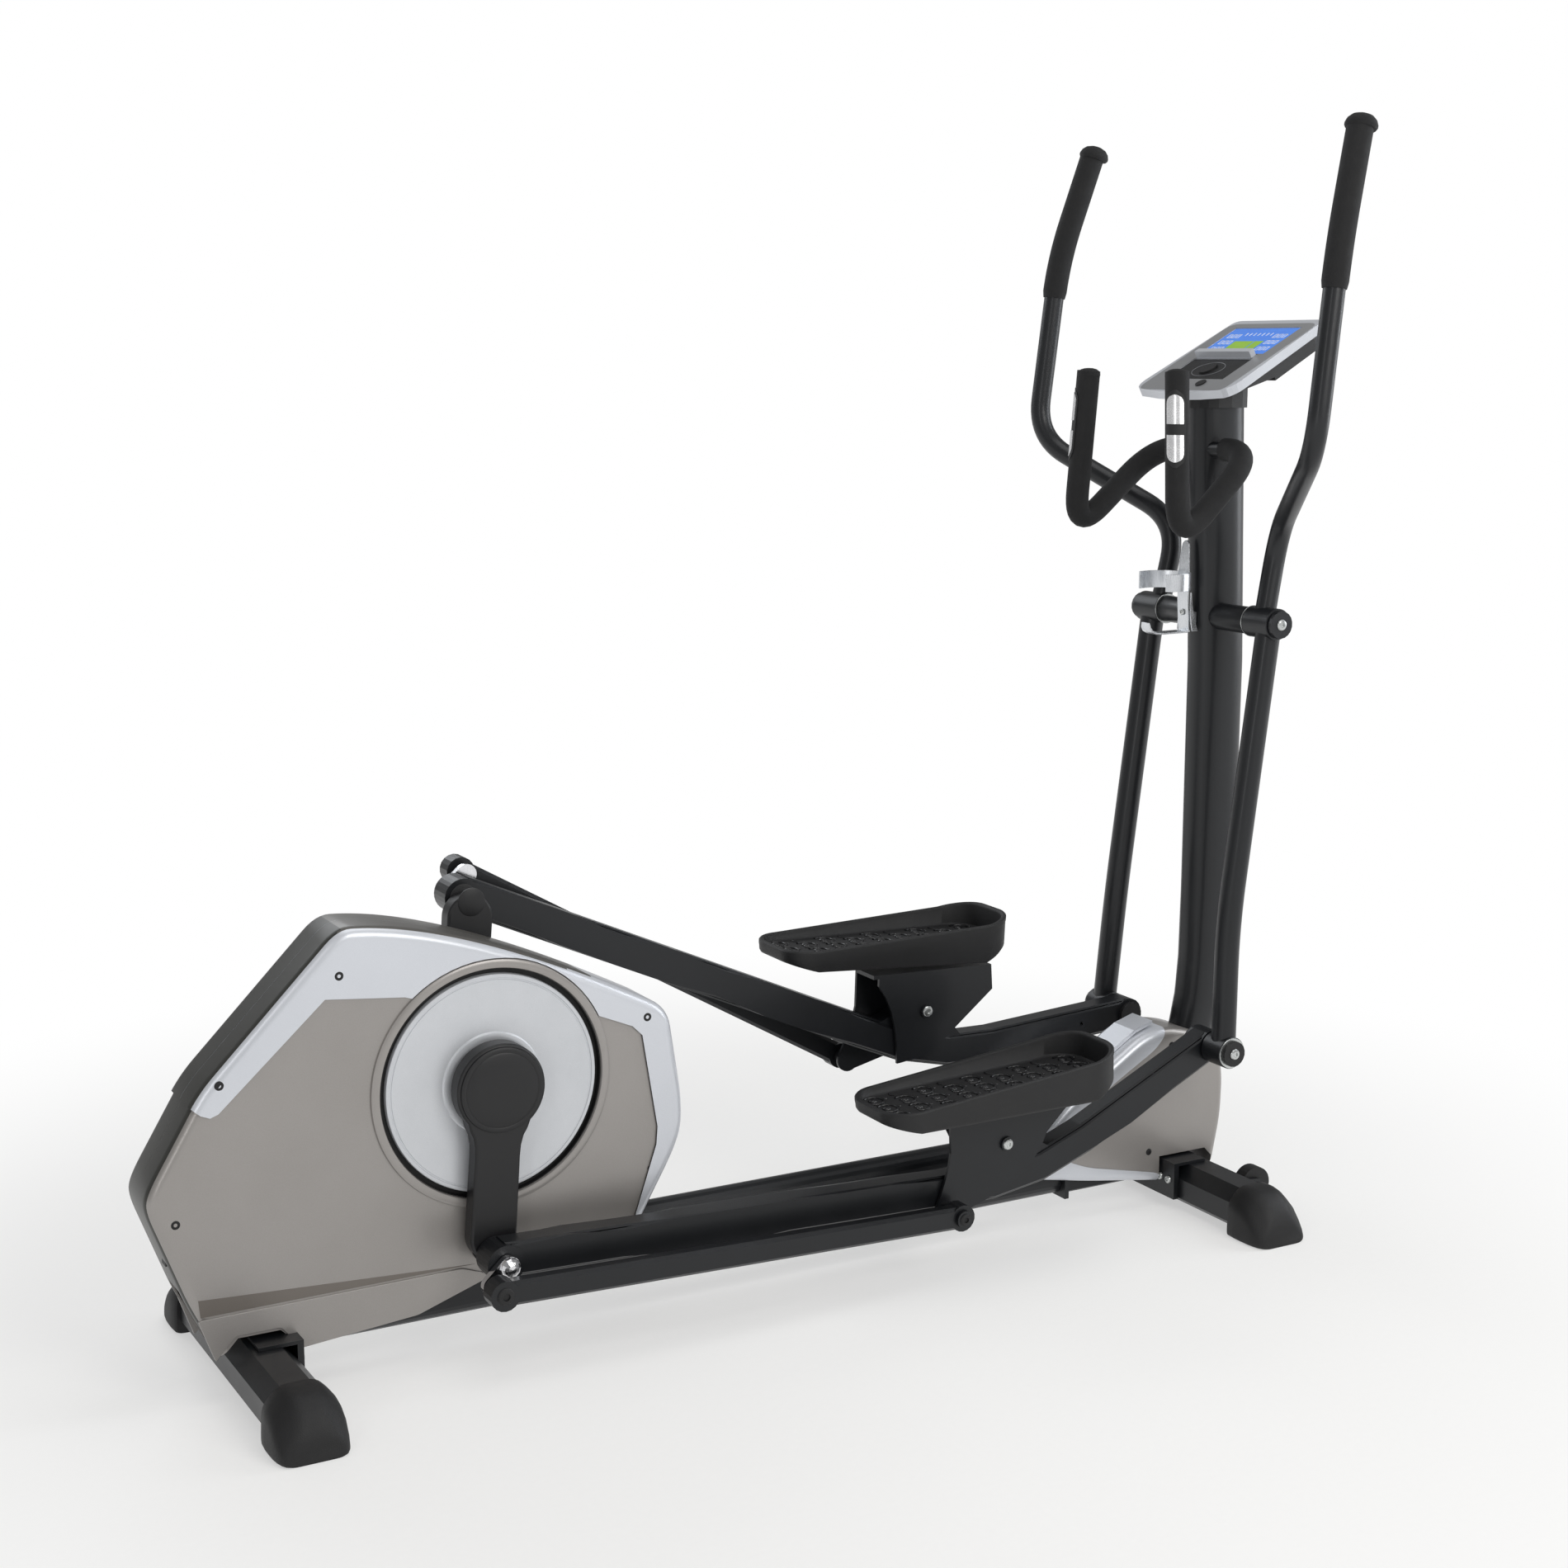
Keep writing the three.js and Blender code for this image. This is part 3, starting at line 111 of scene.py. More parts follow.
def finish_material(name, light, dark, rough, metallic=0.0, patch=0.05, grain=0.0004, bump=0.1,
                    coat=0.0, stretch=(1, 1, 1)):
    """A finish whose colour drifts over patches and whose gloss and relief follow a fine grain.

    patch and grain are lengths in metres; rough is the pair of roughness limits.
    """
    material = bpy.data.materials.new(name)
    material.use_nodes = True
    tree = material.node_tree
    shader = tree.nodes["Principled BSDF"]
    shader.inputs["Metallic"].default_value = metallic
    shader.inputs["Coat Weight"].default_value = coat
    shader.inputs["Coat Roughness"].default_value = 0.16
    place = add_node(tree, "ShaderNodeTexCoord")
    mapping = add_node(tree, "ShaderNodeMapping", Scale=stretch)
    tree.links.new(place.outputs["Object"], mapping.inputs["Vector"])
    wide = add_node(tree, "ShaderNodeTexNoise", Scale=1 / patch, Detail=4.0, Roughness=0.6)
    fine = add_node(tree, "ShaderNodeTexNoise", Scale=1 / grain, Detail=2.0, Roughness=0.55)
    tree.links.new(mapping.outputs[0], wide.inputs["Vector"])
    tree.links.new(mapping.outputs[0], fine.inputs["Vector"])
    tint = add_node(tree, "ShaderNodeValToRGB")
    tint.color_ramp.elements[0].color = linear(dark)
    tint.color_ramp.elements[1].color = linear(light)
    tint.color_ramp.elements[0].position = 0.3
    tint.color_ramp.elements[1].position = 0.7
    both = add_node(tree, "ShaderNodeMath", operation="ADD")
    share = add_node(tree, "ShaderNodeMath", operation="MULTIPLY")
    share.inputs[1].default_value = 0.5
    tree.links.new(wide.outputs["Fac"], both.inputs[0])
    tree.links.new(fine.outputs["Fac"], both.inputs[1])
    tree.links.new(both.outputs[0], share.inputs[0])
    tree.links.new(share.outputs[0], tint.inputs["Fac"])
    tree.links.new(tint.outputs["Color"], shader.inputs["Base Color"])
    gloss = add_node(tree, "ShaderNodeMapRange")
    gloss.inputs["From Min"].default_value = 0.3
    gloss.inputs["From Max"].default_value = 0.7
    gloss.inputs["To Min"].default_value = rough[0]
    gloss.inputs["To Max"].default_value = rough[1]
    tree.links.new(share.outputs[0], gloss.inputs["Value"])
    tree.links.new(gloss.outputs["Result"], shader.inputs["Roughness"])
    relief = add_node(tree, "ShaderNodeBump", Strength=bump, Distance=grain)
    tree.links.new(fine.outputs["Fac"], relief.inputs["Height"])
    tree.links.new(relief.outputs["Normal"], shader.inputs["Normal"])
    return material


ENAMEL = finish_material("black_enamel", "#17191d", "#101215", (0.36, 0.46), 0.25, 0.09, 0.0011, 0.12, 0.15)
CRANK_BLACK = finish_material("crank_plastic", "#151517", "#0e0e10", (0.4, 0.5), 0, 0.05, 0.0006, 0.15)
TAUPE = finish_material("taupe_metallic", "#a19d9a", "#918d89", (0.32, 0.42), 0.45, 0.3, 0.0006, 0.04, 0.3)
SILVER = finish_material("silver_lacquer", "#d6d9df", "#c8cbd1", (0.3, 0.4), 0.35, 0.3, 0.0006, 0.03, 0.25)
DISC_SILVER = finish_material("disc_silver", "#d5d7db", "#c3c6ca", (0.3, 0.4), 0.35, 0.1, 0.0007, 0.05, 0.1)
PLASTIC = finish_material("grained_plastic", "#141416", "#0d0d0e", (0.5, 0.64), 0, 0.04, 0.0009, 0.3)
TREAD = finish_material("glossy_tread", "#17171a", "#0e0e10", (0.22, 0.34), 0, 0.04, 0.0009, 0.15)
FOAM = finish_material("foam_grip", "#121214", "#0a0a0b", (0.72, 0.88), 0, 0.02, 0.0011, 0.45)
RUBBER = finish_material("moulded_rubber", "#131315", "#0c0c0d", (0.5, 0.66), 0, 0.05, 0.0012, 0.25)
CHROME = finish_material("polished_plating", "#e6e6e8", "#cfcfd2", (0.07, 0.16), 1.0, 0.02, 0.002, 0.02)
SATIN = finish_material("satin_stainless", "#f4f4f5", "#dcdcde", (0.2, 0.32), 0.65, 0.02, 0.0008, 0.04)
# Near-black for the cover and shroud screws and the gap round the discs: partly the screws' own black,
# partly painted shade of recesses and gaps.
DARK = finish_material("screw_black_and_painted_shade", "#0c0c0d", "#050506", (0.5, 0.7), 0, 0.01, 0.0008, 0.1)
ZINC = finish_material("zinc_plating", "#d6d8d6", "#b3b6b6", (0.22, 0.36), 1.0, 0.01, 0.0008, 0.08)
BRUSHED = finish_material("brushed_aluminium", "#e2e4e7", "#c4c7cb", (0.2, 0.38), 1.0, 0.03, 0.0006, 0.12,
                          stretch=(1, 1, 0.04))
# Darker taupe and graphite for rim faces turned rearwards or upwards: painted shade where those faces turn
# from the lamps.
TAUPE_PAINTED_SHADE = finish_material("taupe_top_painted_shade", "#6d6b67", "#5d5b57", (0.34, 0.44), 0.5, 0.3, 0.0006, 0.04, 0.15)
DARK_PAINTED_SHADE = finish_material("rim_painted_shade", "#43433f", "#363633", (0.36, 0.48), 0.4, 0.3, 0.0006, 0.04, 0.1)
SHADE_TAUPE = finish_material("taupe_shade", "#77716b", "#6c6660", (0.34, 0.44), 0.5, 0.3, 0.0006, 0.04,
                              0.2)
IRON = finish_material("turned_iron", "#8d9092", "#6b6e71", (0.35, 0.55), 1.0, 0.03, 0.0008, 0.2)

floor_mesh = bpy.data.meshes.new("floor")
floor_mesh.from_pydata([(-30, -30, 0), (30, -30, 0), (30, 30, 0), (-30, 30, 0)], [], [(0, 1, 2, 3)])
floor = bpy.data.objects.new("floor", floor_mesh)
bpy.context.collection.objects.link(floor)
pale_floor = finish_material("pale_floor", "#f4f3f0", "#f0efec", (0.6, 0.7), 0, 2.0, 0.01, 0.01)
floor_mesh.materials.append(pale_floor)


def fade_to_white(material, near, far):
    """The floor turns into a plain lit backdrop away from the machine, so that no horizon shows."""
    tree = material.node_tree
    shader = tree.nodes["Principled BSDF"]
    output = tree.nodes["Material Output"]
    place = add_node(tree, "ShaderNodeTexCoord")
    length = add_node(tree, "ShaderNodeVectorMath", operation="LENGTH")
    fade = add_node(tree, "ShaderNodeMapRange", interpolation_type="SMOOTHSTEP")
    fade.inputs["From Min"].default_value = near
    fade.inputs["From Max"].default_value = far
    fade.inputs["To Min"].default_value = 0.5
    glow = add_node(tree, "ShaderNodeEmission", Color=(1, 1, 1, 1), Strength=1.0)
    mix = add_node(tree, "ShaderNodeMixShader")
    tree.links.new(place.outputs["Object"], length.inputs[0])
    tree.links.new(length.outputs["Value"], fade.inputs["Value"])
    tree.links.new(fade.outputs["Result"], mix.inputs[0])
    tree.links.new(shader.outputs[0], mix.inputs[1])
    tree.links.new(glow.outputs[0], mix.inputs[2])
    tree.links.new(mix.outputs[0], output.inputs["Surface"])


fade_to_white(pale_floor, 0.9, 2.0)

# ---------------------------------------------------------------- finishes of the carried-over nodes
# Pressed and moulded parts keep their frame shape; a small edge radius catches the light.
# Tubes, pedals, discs and the mast are replaced further down by finer meshes.
NODE_FINISH = {
    "rear_frame_rail": (ENAMEL, 0.0015), "front_frame_rail": (ENAMEL, 0.0015),
    "rear_stabilizer": (ENAMEL, 0.003), "front_stabilizer": (ENAMEL, 0.0015),
    "mast_pivot_shaft": (ENAMEL, 0.001), "console_back": (PLASTIC, 0.003),
    "console_bezel": (SILVER, 0.002), "console_keypad": (PLASTIC, 0.0008),
    "front_shroud_trim": (SILVER, 0.0015),
    "power_inlet": (PLASTIC, 0.0008), "drive_bracket": (ENAMEL, 0.0008),
    "drive_belt": (RUBBER, 0.0003), "brake_motor": (PLASTIC, 0.0015),
    "crank_axle": (CHROME, 0.0008), "drive_pulley": (PLASTIC, 0.001),
    "flywheel": (IRON, 0.001), "magnet_bracket": (ENAMEL, 0.0008),
    "console_button_dial": (PLASTIC, 0.0008), "console_button_start": (PLASTIC, 0.0008),
    "console_button_stop": (PLASTIC, 0.0008),
}
for side in SIDES:
    NODE_FINISH.update({
        f"lower_pivot_pin_{side}": (PLASTIC, 0.0012), f"pedal_bar_{side}": (ENAMEL, 0.0015),
        f"return_crank_{side}": (CHROME, 0.0015), f"thin_link_{side}": (ENAMEL, 0.0015),
        f"pedal_bracket_{side}": (ENAMEL, 0.001), f"transport_wheel_{side}": (RUBBER, 0.002),
    })


def round_edges(piece, width, angle=32):
    edges = piece.modifiers.new("edge_radius", "BEVEL")
    edges.width = width
    edges.segments = 2
    edges.limit_method = "ANGLE"
    edges.angle_limit = math.radians(angle)
    edges.harden_normals = False
    edges.use_clamp_overlap = True


for node, (material, width) in NODE_FINISH.items():
    carried = frame["nodes"][node]
    carried.data.materials.clear()
    carried.data.materials.append(material)
    round_edges(carried, width)


def piece_from(name, bm, material, body, smooth=35, width=0.0):
    """A finished piece from a bmesh: even normals, smooth below an angle, riding on a body."""
    bmesh.ops.remove_doubles(bm, verts=bm.verts, dist=1e-6)
    bmesh.ops.recalc_face_normals(bm, faces=bm.faces)
    mesh = bpy.data.meshes.new(name)
    for face in bm.faces:
        face.smooth = True
    for edge in bm.edges:
        if len(edge.link_faces) == 2 and edge.calc_face_angle(0) > math.radians(smooth):
            edge.smooth = False
    bm.to_mesh(mesh)
    bm.free()
    mesh.materials.append(material)
    piece = bpy.data.objects.new(name, mesh)
    bpy.context.collection.objects.link(piece)
    if width:
        round_edges(piece, width)
    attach(piece, body)
    return piece


def tint_faces(piece, material, chosen):
    """A second colour on the faces that a test of their normal and centre picks out; here it paints shade on
    faces turned away from the lamps.
    """
    piece.data.materials.append(material)
    slot_index = len(piece.data.materials) - 1
    for face in piece.data.polygons:
        if chosen(face.normal, face.center):
            face.material_index = slot_index


# ---------------------------------------------------------------- round fittings
# Caps, washers, bolt heads and discs are turned about their own axis.
# A profile is a list of (radius, distance along the axis) from the axis outwards and back.
def turned(bm, centre, axis, profile, steps=48):
    turn = Vector((0, 0, 1)).rotation_difference(Vector(axis)).to_matrix().to_4x4()
    place = Matrix.Translation(Vector(centre)) @ turn
    ring = [bm.verts.new(place @ Vector((radius, 0, along))) for radius, along in profile]
    edges = [bm.edges.new((ring[i], ring[i + 1])) for i in range(len(ring) - 1)]
    bmesh.ops.spin(
        bm, geom=ring + edges, cent=centre, axis=axis, dvec=(0, 0, 0),
        angle=2 * math.pi, steps=steps, use_merge=True,
    )


def bolt_profile(radius, height):
    """A button head with a socket, from the socket's floor outwards."""
    socket = radius * 0.42
    return [
        (0, height * 0.35), (socket, height * 0.35), (socket * 1.05, height), (radius * 0.62, height),
        (radius * 0.88, height * 0.75), (radius, height * 0.3), (radius, -0.001), (0, -0.001),
    ]


def bolt(name, centre, axis, radius, height, body, material=ZINC):
    bm = bmesh.new()
    turned(bm, centre, axis, bolt_profile(radius, height), 24)
    piece_from(name, bm, material, body, 28)


def joint_place(name):
    for joint in frame["record"]["behaviour"]["joints"]:
        if joint["name"] == name:
            return Vector(joint["pos_m"])


# ---------------------------------------------------------------- moulded halves
# Housing and shroud are injection-moulded shells in a right and a left half, screwed together.
# Every outside corner is rounded, and each half stops just short of the centre plane.
def fillet(points, reach, steps=6):
    """A closed outline with each corner rounded over up to `reach` on either side of it."""
    count = len(points)
    corners = [Vector((x, 0, z)) for x, z in points]
    loop = []
    for i, corner in enumerate(corners):
        before, after = corners[i - 1], corners[(i + 1) % count]
        near = min(reach, 0.45 * (before - corner).length)
        far = min(reach, 0.45 * (after - corner).length)
        start = corner.lerp(before, near / (before - corner).length)
        end = corner.lerp(after, far / (after - corner).length)
        for k in range(steps + 1):
            t = k / steps
            loop.append(start * (1 - t) ** 2 + corner * 2 * t * (1 - t) + end * t ** 2)
    return loop


def inset(loop, distance):
    """The outline moved inwards by a distance, each point along the mean of its two edges' normals."""
    count = len(loop)
    area = sum(loop[i - 1].x * loop[i].z - loop[i].x * loop[i - 1].z for i in range(count))
    turn = 1 if area > 0 else -1
    moved = []
    for i, point in enumerate(loop):
        first = (point - loop[i - 1]).normalized()
        second = (loop[(i + 1) % count] - point).normalized()
        normal = Vector((-(first.z + second.z), 0, first.x + second.x)) * turn
        normal /= max(1e-6, normal.length * math.cos(first.angle(second, 0) / 2))
        moved.append(point + normal * distance)
    return moved


def moulding(outline, sign, half, radius, grow=0.0, start=0.00015, steps=8):
    """A closed half shell block from the centre plane out to its side face, with a rounded rim."""
    bm = bmesh.new()
    levels = [(start, -grow)]
    for k in range(steps + 1):
        angle = math.radians(90 * k / steps)
        levels.append((half + grow - radius * (1 - math.sin(angle)), radius * (1 - math.cos(angle)) - grow))
    rings = [
        [bm.verts.new((p.x, sign * y, p.z)) for p in inset(outline, depth)]
        for y, depth in levels
    ]
    for ring, following in zip(rings, rings[1:]):
        for k in range(len(ring)):
            n = (k + 1) % len(ring)
            bm.faces.new((ring[k], ring[n], following[n], following[k]))
    bm.faces.new(rings[0])
    bm.faces.new(rings[-1])
    bmesh.ops.recalc_face_normals(bm, faces=bm.faces)
    return bm


def slab(outline, y0, y1):
    """A flat-sided block with an outline in the side view."""
    bm = bmesh.new()
    near = [bm.verts.new((x, y0, z)) for x, z in outline]
    far = [bm.verts.new((x, y1, z)) for x, z in outline]
    for k in range(len(near)):
        n = (k + 1) % len(near)
        bm.faces.new((near[k], near[n], far[n], far[k]))
    bm.faces.new(near)
    bm.faces.new(far)
    bmesh.ops.recalc_face_normals(bm, faces=bm.faces)
    return bm


def drum(centre, sign, radius, y0, y1, count=128):
    ring = [(centre.x + radius * math.cos(2 * math.pi * k / count),
             centre.z + radius * math.sin(2 * math.pi * k / count)) for k in range(count)]
    return slab(ring, sign * y0, sign * y1)


def carve(solid, tools, operation="DIFFERENCE"):
    """The solid with each tool cut away from it, or kept in common with it, as a new bmesh."""
    objects = []
    for index, bm in enumerate([solid] + tools):
        mesh = bpy.data.meshes.new(f"carve_{index}")
        bm.to_mesh(mesh)
        bm.free()
        made = bpy.data.objects.new(f"carve_{index}", mesh)
        bpy.context.collection.objects.link(made)
        objects.append(made)
    for tool in objects[1:]:
        step = objects[0].modifiers.new(tool.name, "BOOLEAN")
        step.operation = operation
        step.solver = "EXACT"
        step.object = tool
    bpy.context.view_layer.update()
    result = bmesh.new()
    evaluated = objects[0].evaluated_get(bpy.context.evaluated_depsgraph_get())
    result.from_mesh(evaluated.to_mesh())
    for made in objects:
        bpy.data.meshes.remove(made.data)
    return result


axle = joint_place("crank_spin")
curve_from, curve_a = Vector((-0.1835, 0, 0.442)), Vector((-0.3655, 0, 0.54))
curve_b, curve_to = Vector((-0.5355, 0, 0.612)), Vector((-0.6575, 0, 0.612))
top_line = []
for k in range(11):
    t = k / 10
    point = (curve_from * (1 - t) ** 3 + curve_a * 3 * t * (1 - t) ** 2
             + curve_b * 3 * t ** 2 * (1 - t) + curve_to * t ** 3)
    top_line.append((point.x, point.z))
housing_outline = fillet([
    (-0.8255, 0.04), (-0.5655, 0.062), (-0.4755, 0.096), (-0.2395, 0.126), (-0.1775, 0.232),
    (-0.1635, 0.268), (-0.1635, 0.314), *top_line, (-0.8475, 0.42), (-0.9195, 0.3), (-0.9255, 0.276),
    (-0.8735, 0.134),
], 0.026)
arch = [(-0.835, 0.0), (-0.735, 0.0), (-0.735, 0.064), (-0.755, 0.084), (-0.812, 0.084), (-0.833, 0.062)]
band_region = [
    (-0.2475, 0.128), (-0.1555, 0.2), (-0.0955, 0.45), (-0.4355, 0.7), (-0.7355, 0.7), (-0.8955, 0.44),
    (-0.86, 0.401), (-0.849, 0.392), (-0.837, 0.387), (-0.826, 0.391), (-0.6805, 0.523), (-0.5715, 0.512),
]
band_region += [(axle.x + 0.1745 * math.cos(math.radians(130 - k * 5.25)),
                 axle.z + 0.1745 * math.sin(math.radians(130 - k * 5.25))) for k in range(21)]
band_region += [(-0.2405, 0.427), (-0.2255, 0.412), (-0.2035, 0.276), (-0.2055, 0.25)]
for side, sign in SIDES.items():
    hollow = moulding(housing_outline, sign, 0.05, 0.016, -0.0025, start=-0.001)
    hollow = carve(hollow, [drum(axle, sign, 0.1645, 0.0395, 0.07)])
    tools = [
        hollow, drum(axle, sign, 0.162, 0.042, 0.07), drum(axle, sign, 0.027, -0.01, 0.07, 48),
        slab(arch, sign * -0.01, sign * 0.09),
        slab([(-0.96, 0.0), (-0.1, 0.0), (-0.1, 0.1525), (-0.96, 0.1525)], sign * -0.01, sign * 0.0265),
    ]
    cover = piece_from(
        f"housing_{side}", carve(moulding(housing_outline, sign, 0.05, 0.016), tools),
        TAUPE, "frame", 28,
    )
    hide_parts(f"rear_cover_{side}")
    # Rearward faces of the housing's rim take the darker graphite: painted shade.
    tint_faces(cover, DARK_PAINTED_SHADE, lambda n, c: abs(n.y) < 0.55 and n.x < -0.35 and c.x < -0.65)

    skin = carve(
        moulding(housing_outline, sign, 0.05, 0.016, 0.003),
        [moulding(housing_outline, sign, 0.05, 0.016, 0.0002, start=-0.001)],
    )
    skin = carve(skin, [slab(band_region, sign * -0.01, sign * 0.09)], "INTERSECT")
    band = piece_from(f"bright_band_{side}", skin, SILVER, "frame", 28)
    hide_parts(f"cover_band_{side}")
    # Top and rear faces of the band's rim take darker colours: painted shade, not a separate finish.
    tint_faces(band, TAUPE_PAINTED_SHADE, lambda n, c: abs(n.y) < 0.6 and n.z > 0.8 and c.x < -0.3)
    tint_faces(band, DARK_PAINTED_SHADE, lambda n, c: abs(n.y) < 0.6 and n.x < -0.35)

    tail = fillet([(-0.864, 0.118), (-0.5, 0.121), (-0.455, 0.104), (-0.565, 0.0675), (-0.735, 0.0535),
                   (-0.735, 0.064), (-0.755, 0.088), (-0.815, 0.088), (-0.838, 0.064), (-0.843, 0.058)],
                  0.004, 3)
    bm = slab([(p.x, p.z) for p in tail], sign * 0.0495, sign * 0.0525)
    piece_from(f"tail_flare_{side}", bm, TAUPE, "frame", 30, 0.0012)
    # The tail facet is a thin flat plate in darker taupe: painted shade for the angled facet of the tail
    # ridge.
    facet = slab([(-0.862, 0.145), (-0.48, 0.1235), (-0.86, 0.121)], sign * 0.0495, sign * 0.0504)
    piece_from(f"tail_facet_{side}", facet, SHADE_TAUPE, "frame", 30, 0.0003)

shroud_outline = fillet([
    (0.4405, 0.084), (0.5545, 0.062), (0.7445, 0.032), (0.8025, 0.04), (0.8205, 0.13), (0.8225, 0.2),
    (0.8105, 0.252), (0.7545, 0.282), (0.7, 0.293), (0.6545, 0.284), (0.5205, 0.2), (0.4345, 0.122),
], 0.024)
foot_way = [(0.6925, -0.01), (0.7985, -0.01), (0.7985, 0.066), (0.784, 0.081), (0.6925, 0.081)]
for side, sign in SIDES.items():
    mast_way = []
    for k in range(32):
        angle = 2 * math.pi * k / 32
        mast_way.append((0.787 + 0.041 * math.cos(angle), 0.0335 * math.sin(angle)))
    well = bmesh.new()
    low = [well.verts.new((x - 0.003, y, 0.1)) for x, y in mast_way]
    high = [well.verts.new((x + 0.004, y, 0.42)) for x, y in mast_way]
    for k in range(32):
        n = (k + 1) % 32
        well.faces.new((low[k], low[n], high[n], high[k]))
    well.faces.new(low)
    well.faces.new(high)
    bmesh.ops.recalc_face_normals(well, faces=well.faces)
    shell = carve(moulding(shroud_outline, sign, 0.046, 0.014), [
        moulding(shroud_outline, sign, 0.046, 0.014, -0.0025, start=-0.001), well,
        slab([(0.3, 0.0), (0.7, 0.0), (0.7, 0.1525), (0.3, 0.1525)], sign * -0.01, sign * 0.0265),
        slab(foot_way, sign * -0.01, sign * 0.12),
    ])
    shroud = piece_from(f"shroud_{side}", shell, TAUPE, "frame", 28)
    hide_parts(f"front_shroud_{side}")

    s_line = fillet([(0.35, 0.0), (0.35, 0.36), (0.71, 0.36), (0.7, 0.287), (0.68, 0.262), (0.613, 0.225),
                     (0.53, 0.175), (0.509, 0.146), (0.5135, 0.124), (0.503, 0.106), (0.55, 0.086),
                     (0.7, 0.052), (0.7, 0.0)], 0.02, 5)
    panel_skin = carve(moulding(shroud_outline, sign, 0.046, 0.014, 0.0016), [
        moulding(shroud_outline, sign, 0.046, 0.014, 0.0002, start=-0.001),
        slab([(0.3, 0.0), (0.7, 0.0), (0.7, 0.1525), (0.3, 0.1525)], sign * -0.01, sign * 0.0265),
        slab(foot_way, sign * -0.01, sign * 0.12),
    ])
    panel_region = slab([(p.x, p.z) for p in s_line], sign * -0.01, sign * 0.09)
    panel_skin = carve(panel_skin, [panel_region], "INTERSECT")
    piece_from(f"shroud_panel_{side}", panel_skin, SILVER, "frame", 28)

# ---------------------------------------------------------------- stabiliser caps
# Soft moulded caps push over the tube ends; they flare to the floor and round off outwards.
# The sole is flat where it stands.
for place, x, reach in (("rear", -0.7825, 0.279), ("front", 0.746, 0.288)):
    for side, sign in SIDES.items():
        bm = bmesh.new()
        rings = []
        for back, half, top, round_off in [
            (0.08, 0.046, 0.076, 0.022), (0.077, 0.0485, 0.0775, 0.024), (0.06, 0.05, 0.078, 0.026),
            (0.044, 0.05, 0.0765, 0.028), (0.03, 0.0495, 0.071, 0.03), (0.018, 0.048, 0.06, 0.03),
            (0.009, 0.0455, 0.047, 0.026), (0.003, 0.042, 0.034, 0.018), (0.0, 0.037, 0.022, 0.01),
        ]:
            outline = fillet([
                (x - half + 0.003, 0.0003), (x + half - 0.003, 0.0003), (x + half, 0.006),
                (x + half - 0.002, top - round_off), (x + half - round_off, top),
                (x - half + round_off, top), (x - half + 0.002, top - round_off), (x - half, 0.006),
            ], 0.012, 4)
            rings.append([bm.verts.new((p.x, sign * (reach - back), p.z)) for p in outline])
        for ring, following in zip(rings, rings[1:]):
            for k in range(len(ring)):
                n = (k + 1) % len(ring)
                bm.faces.new((ring[k], ring[n], following[n], following[k]))
        bm.faces.new(rings[0])
        bm.faces.new(rings[-1])
        cap = piece_from(f"stand_cap_{place}_{side}", bm, RUBBER, "frame", 50)
        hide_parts(f"foot_cap_{place}_{side}")

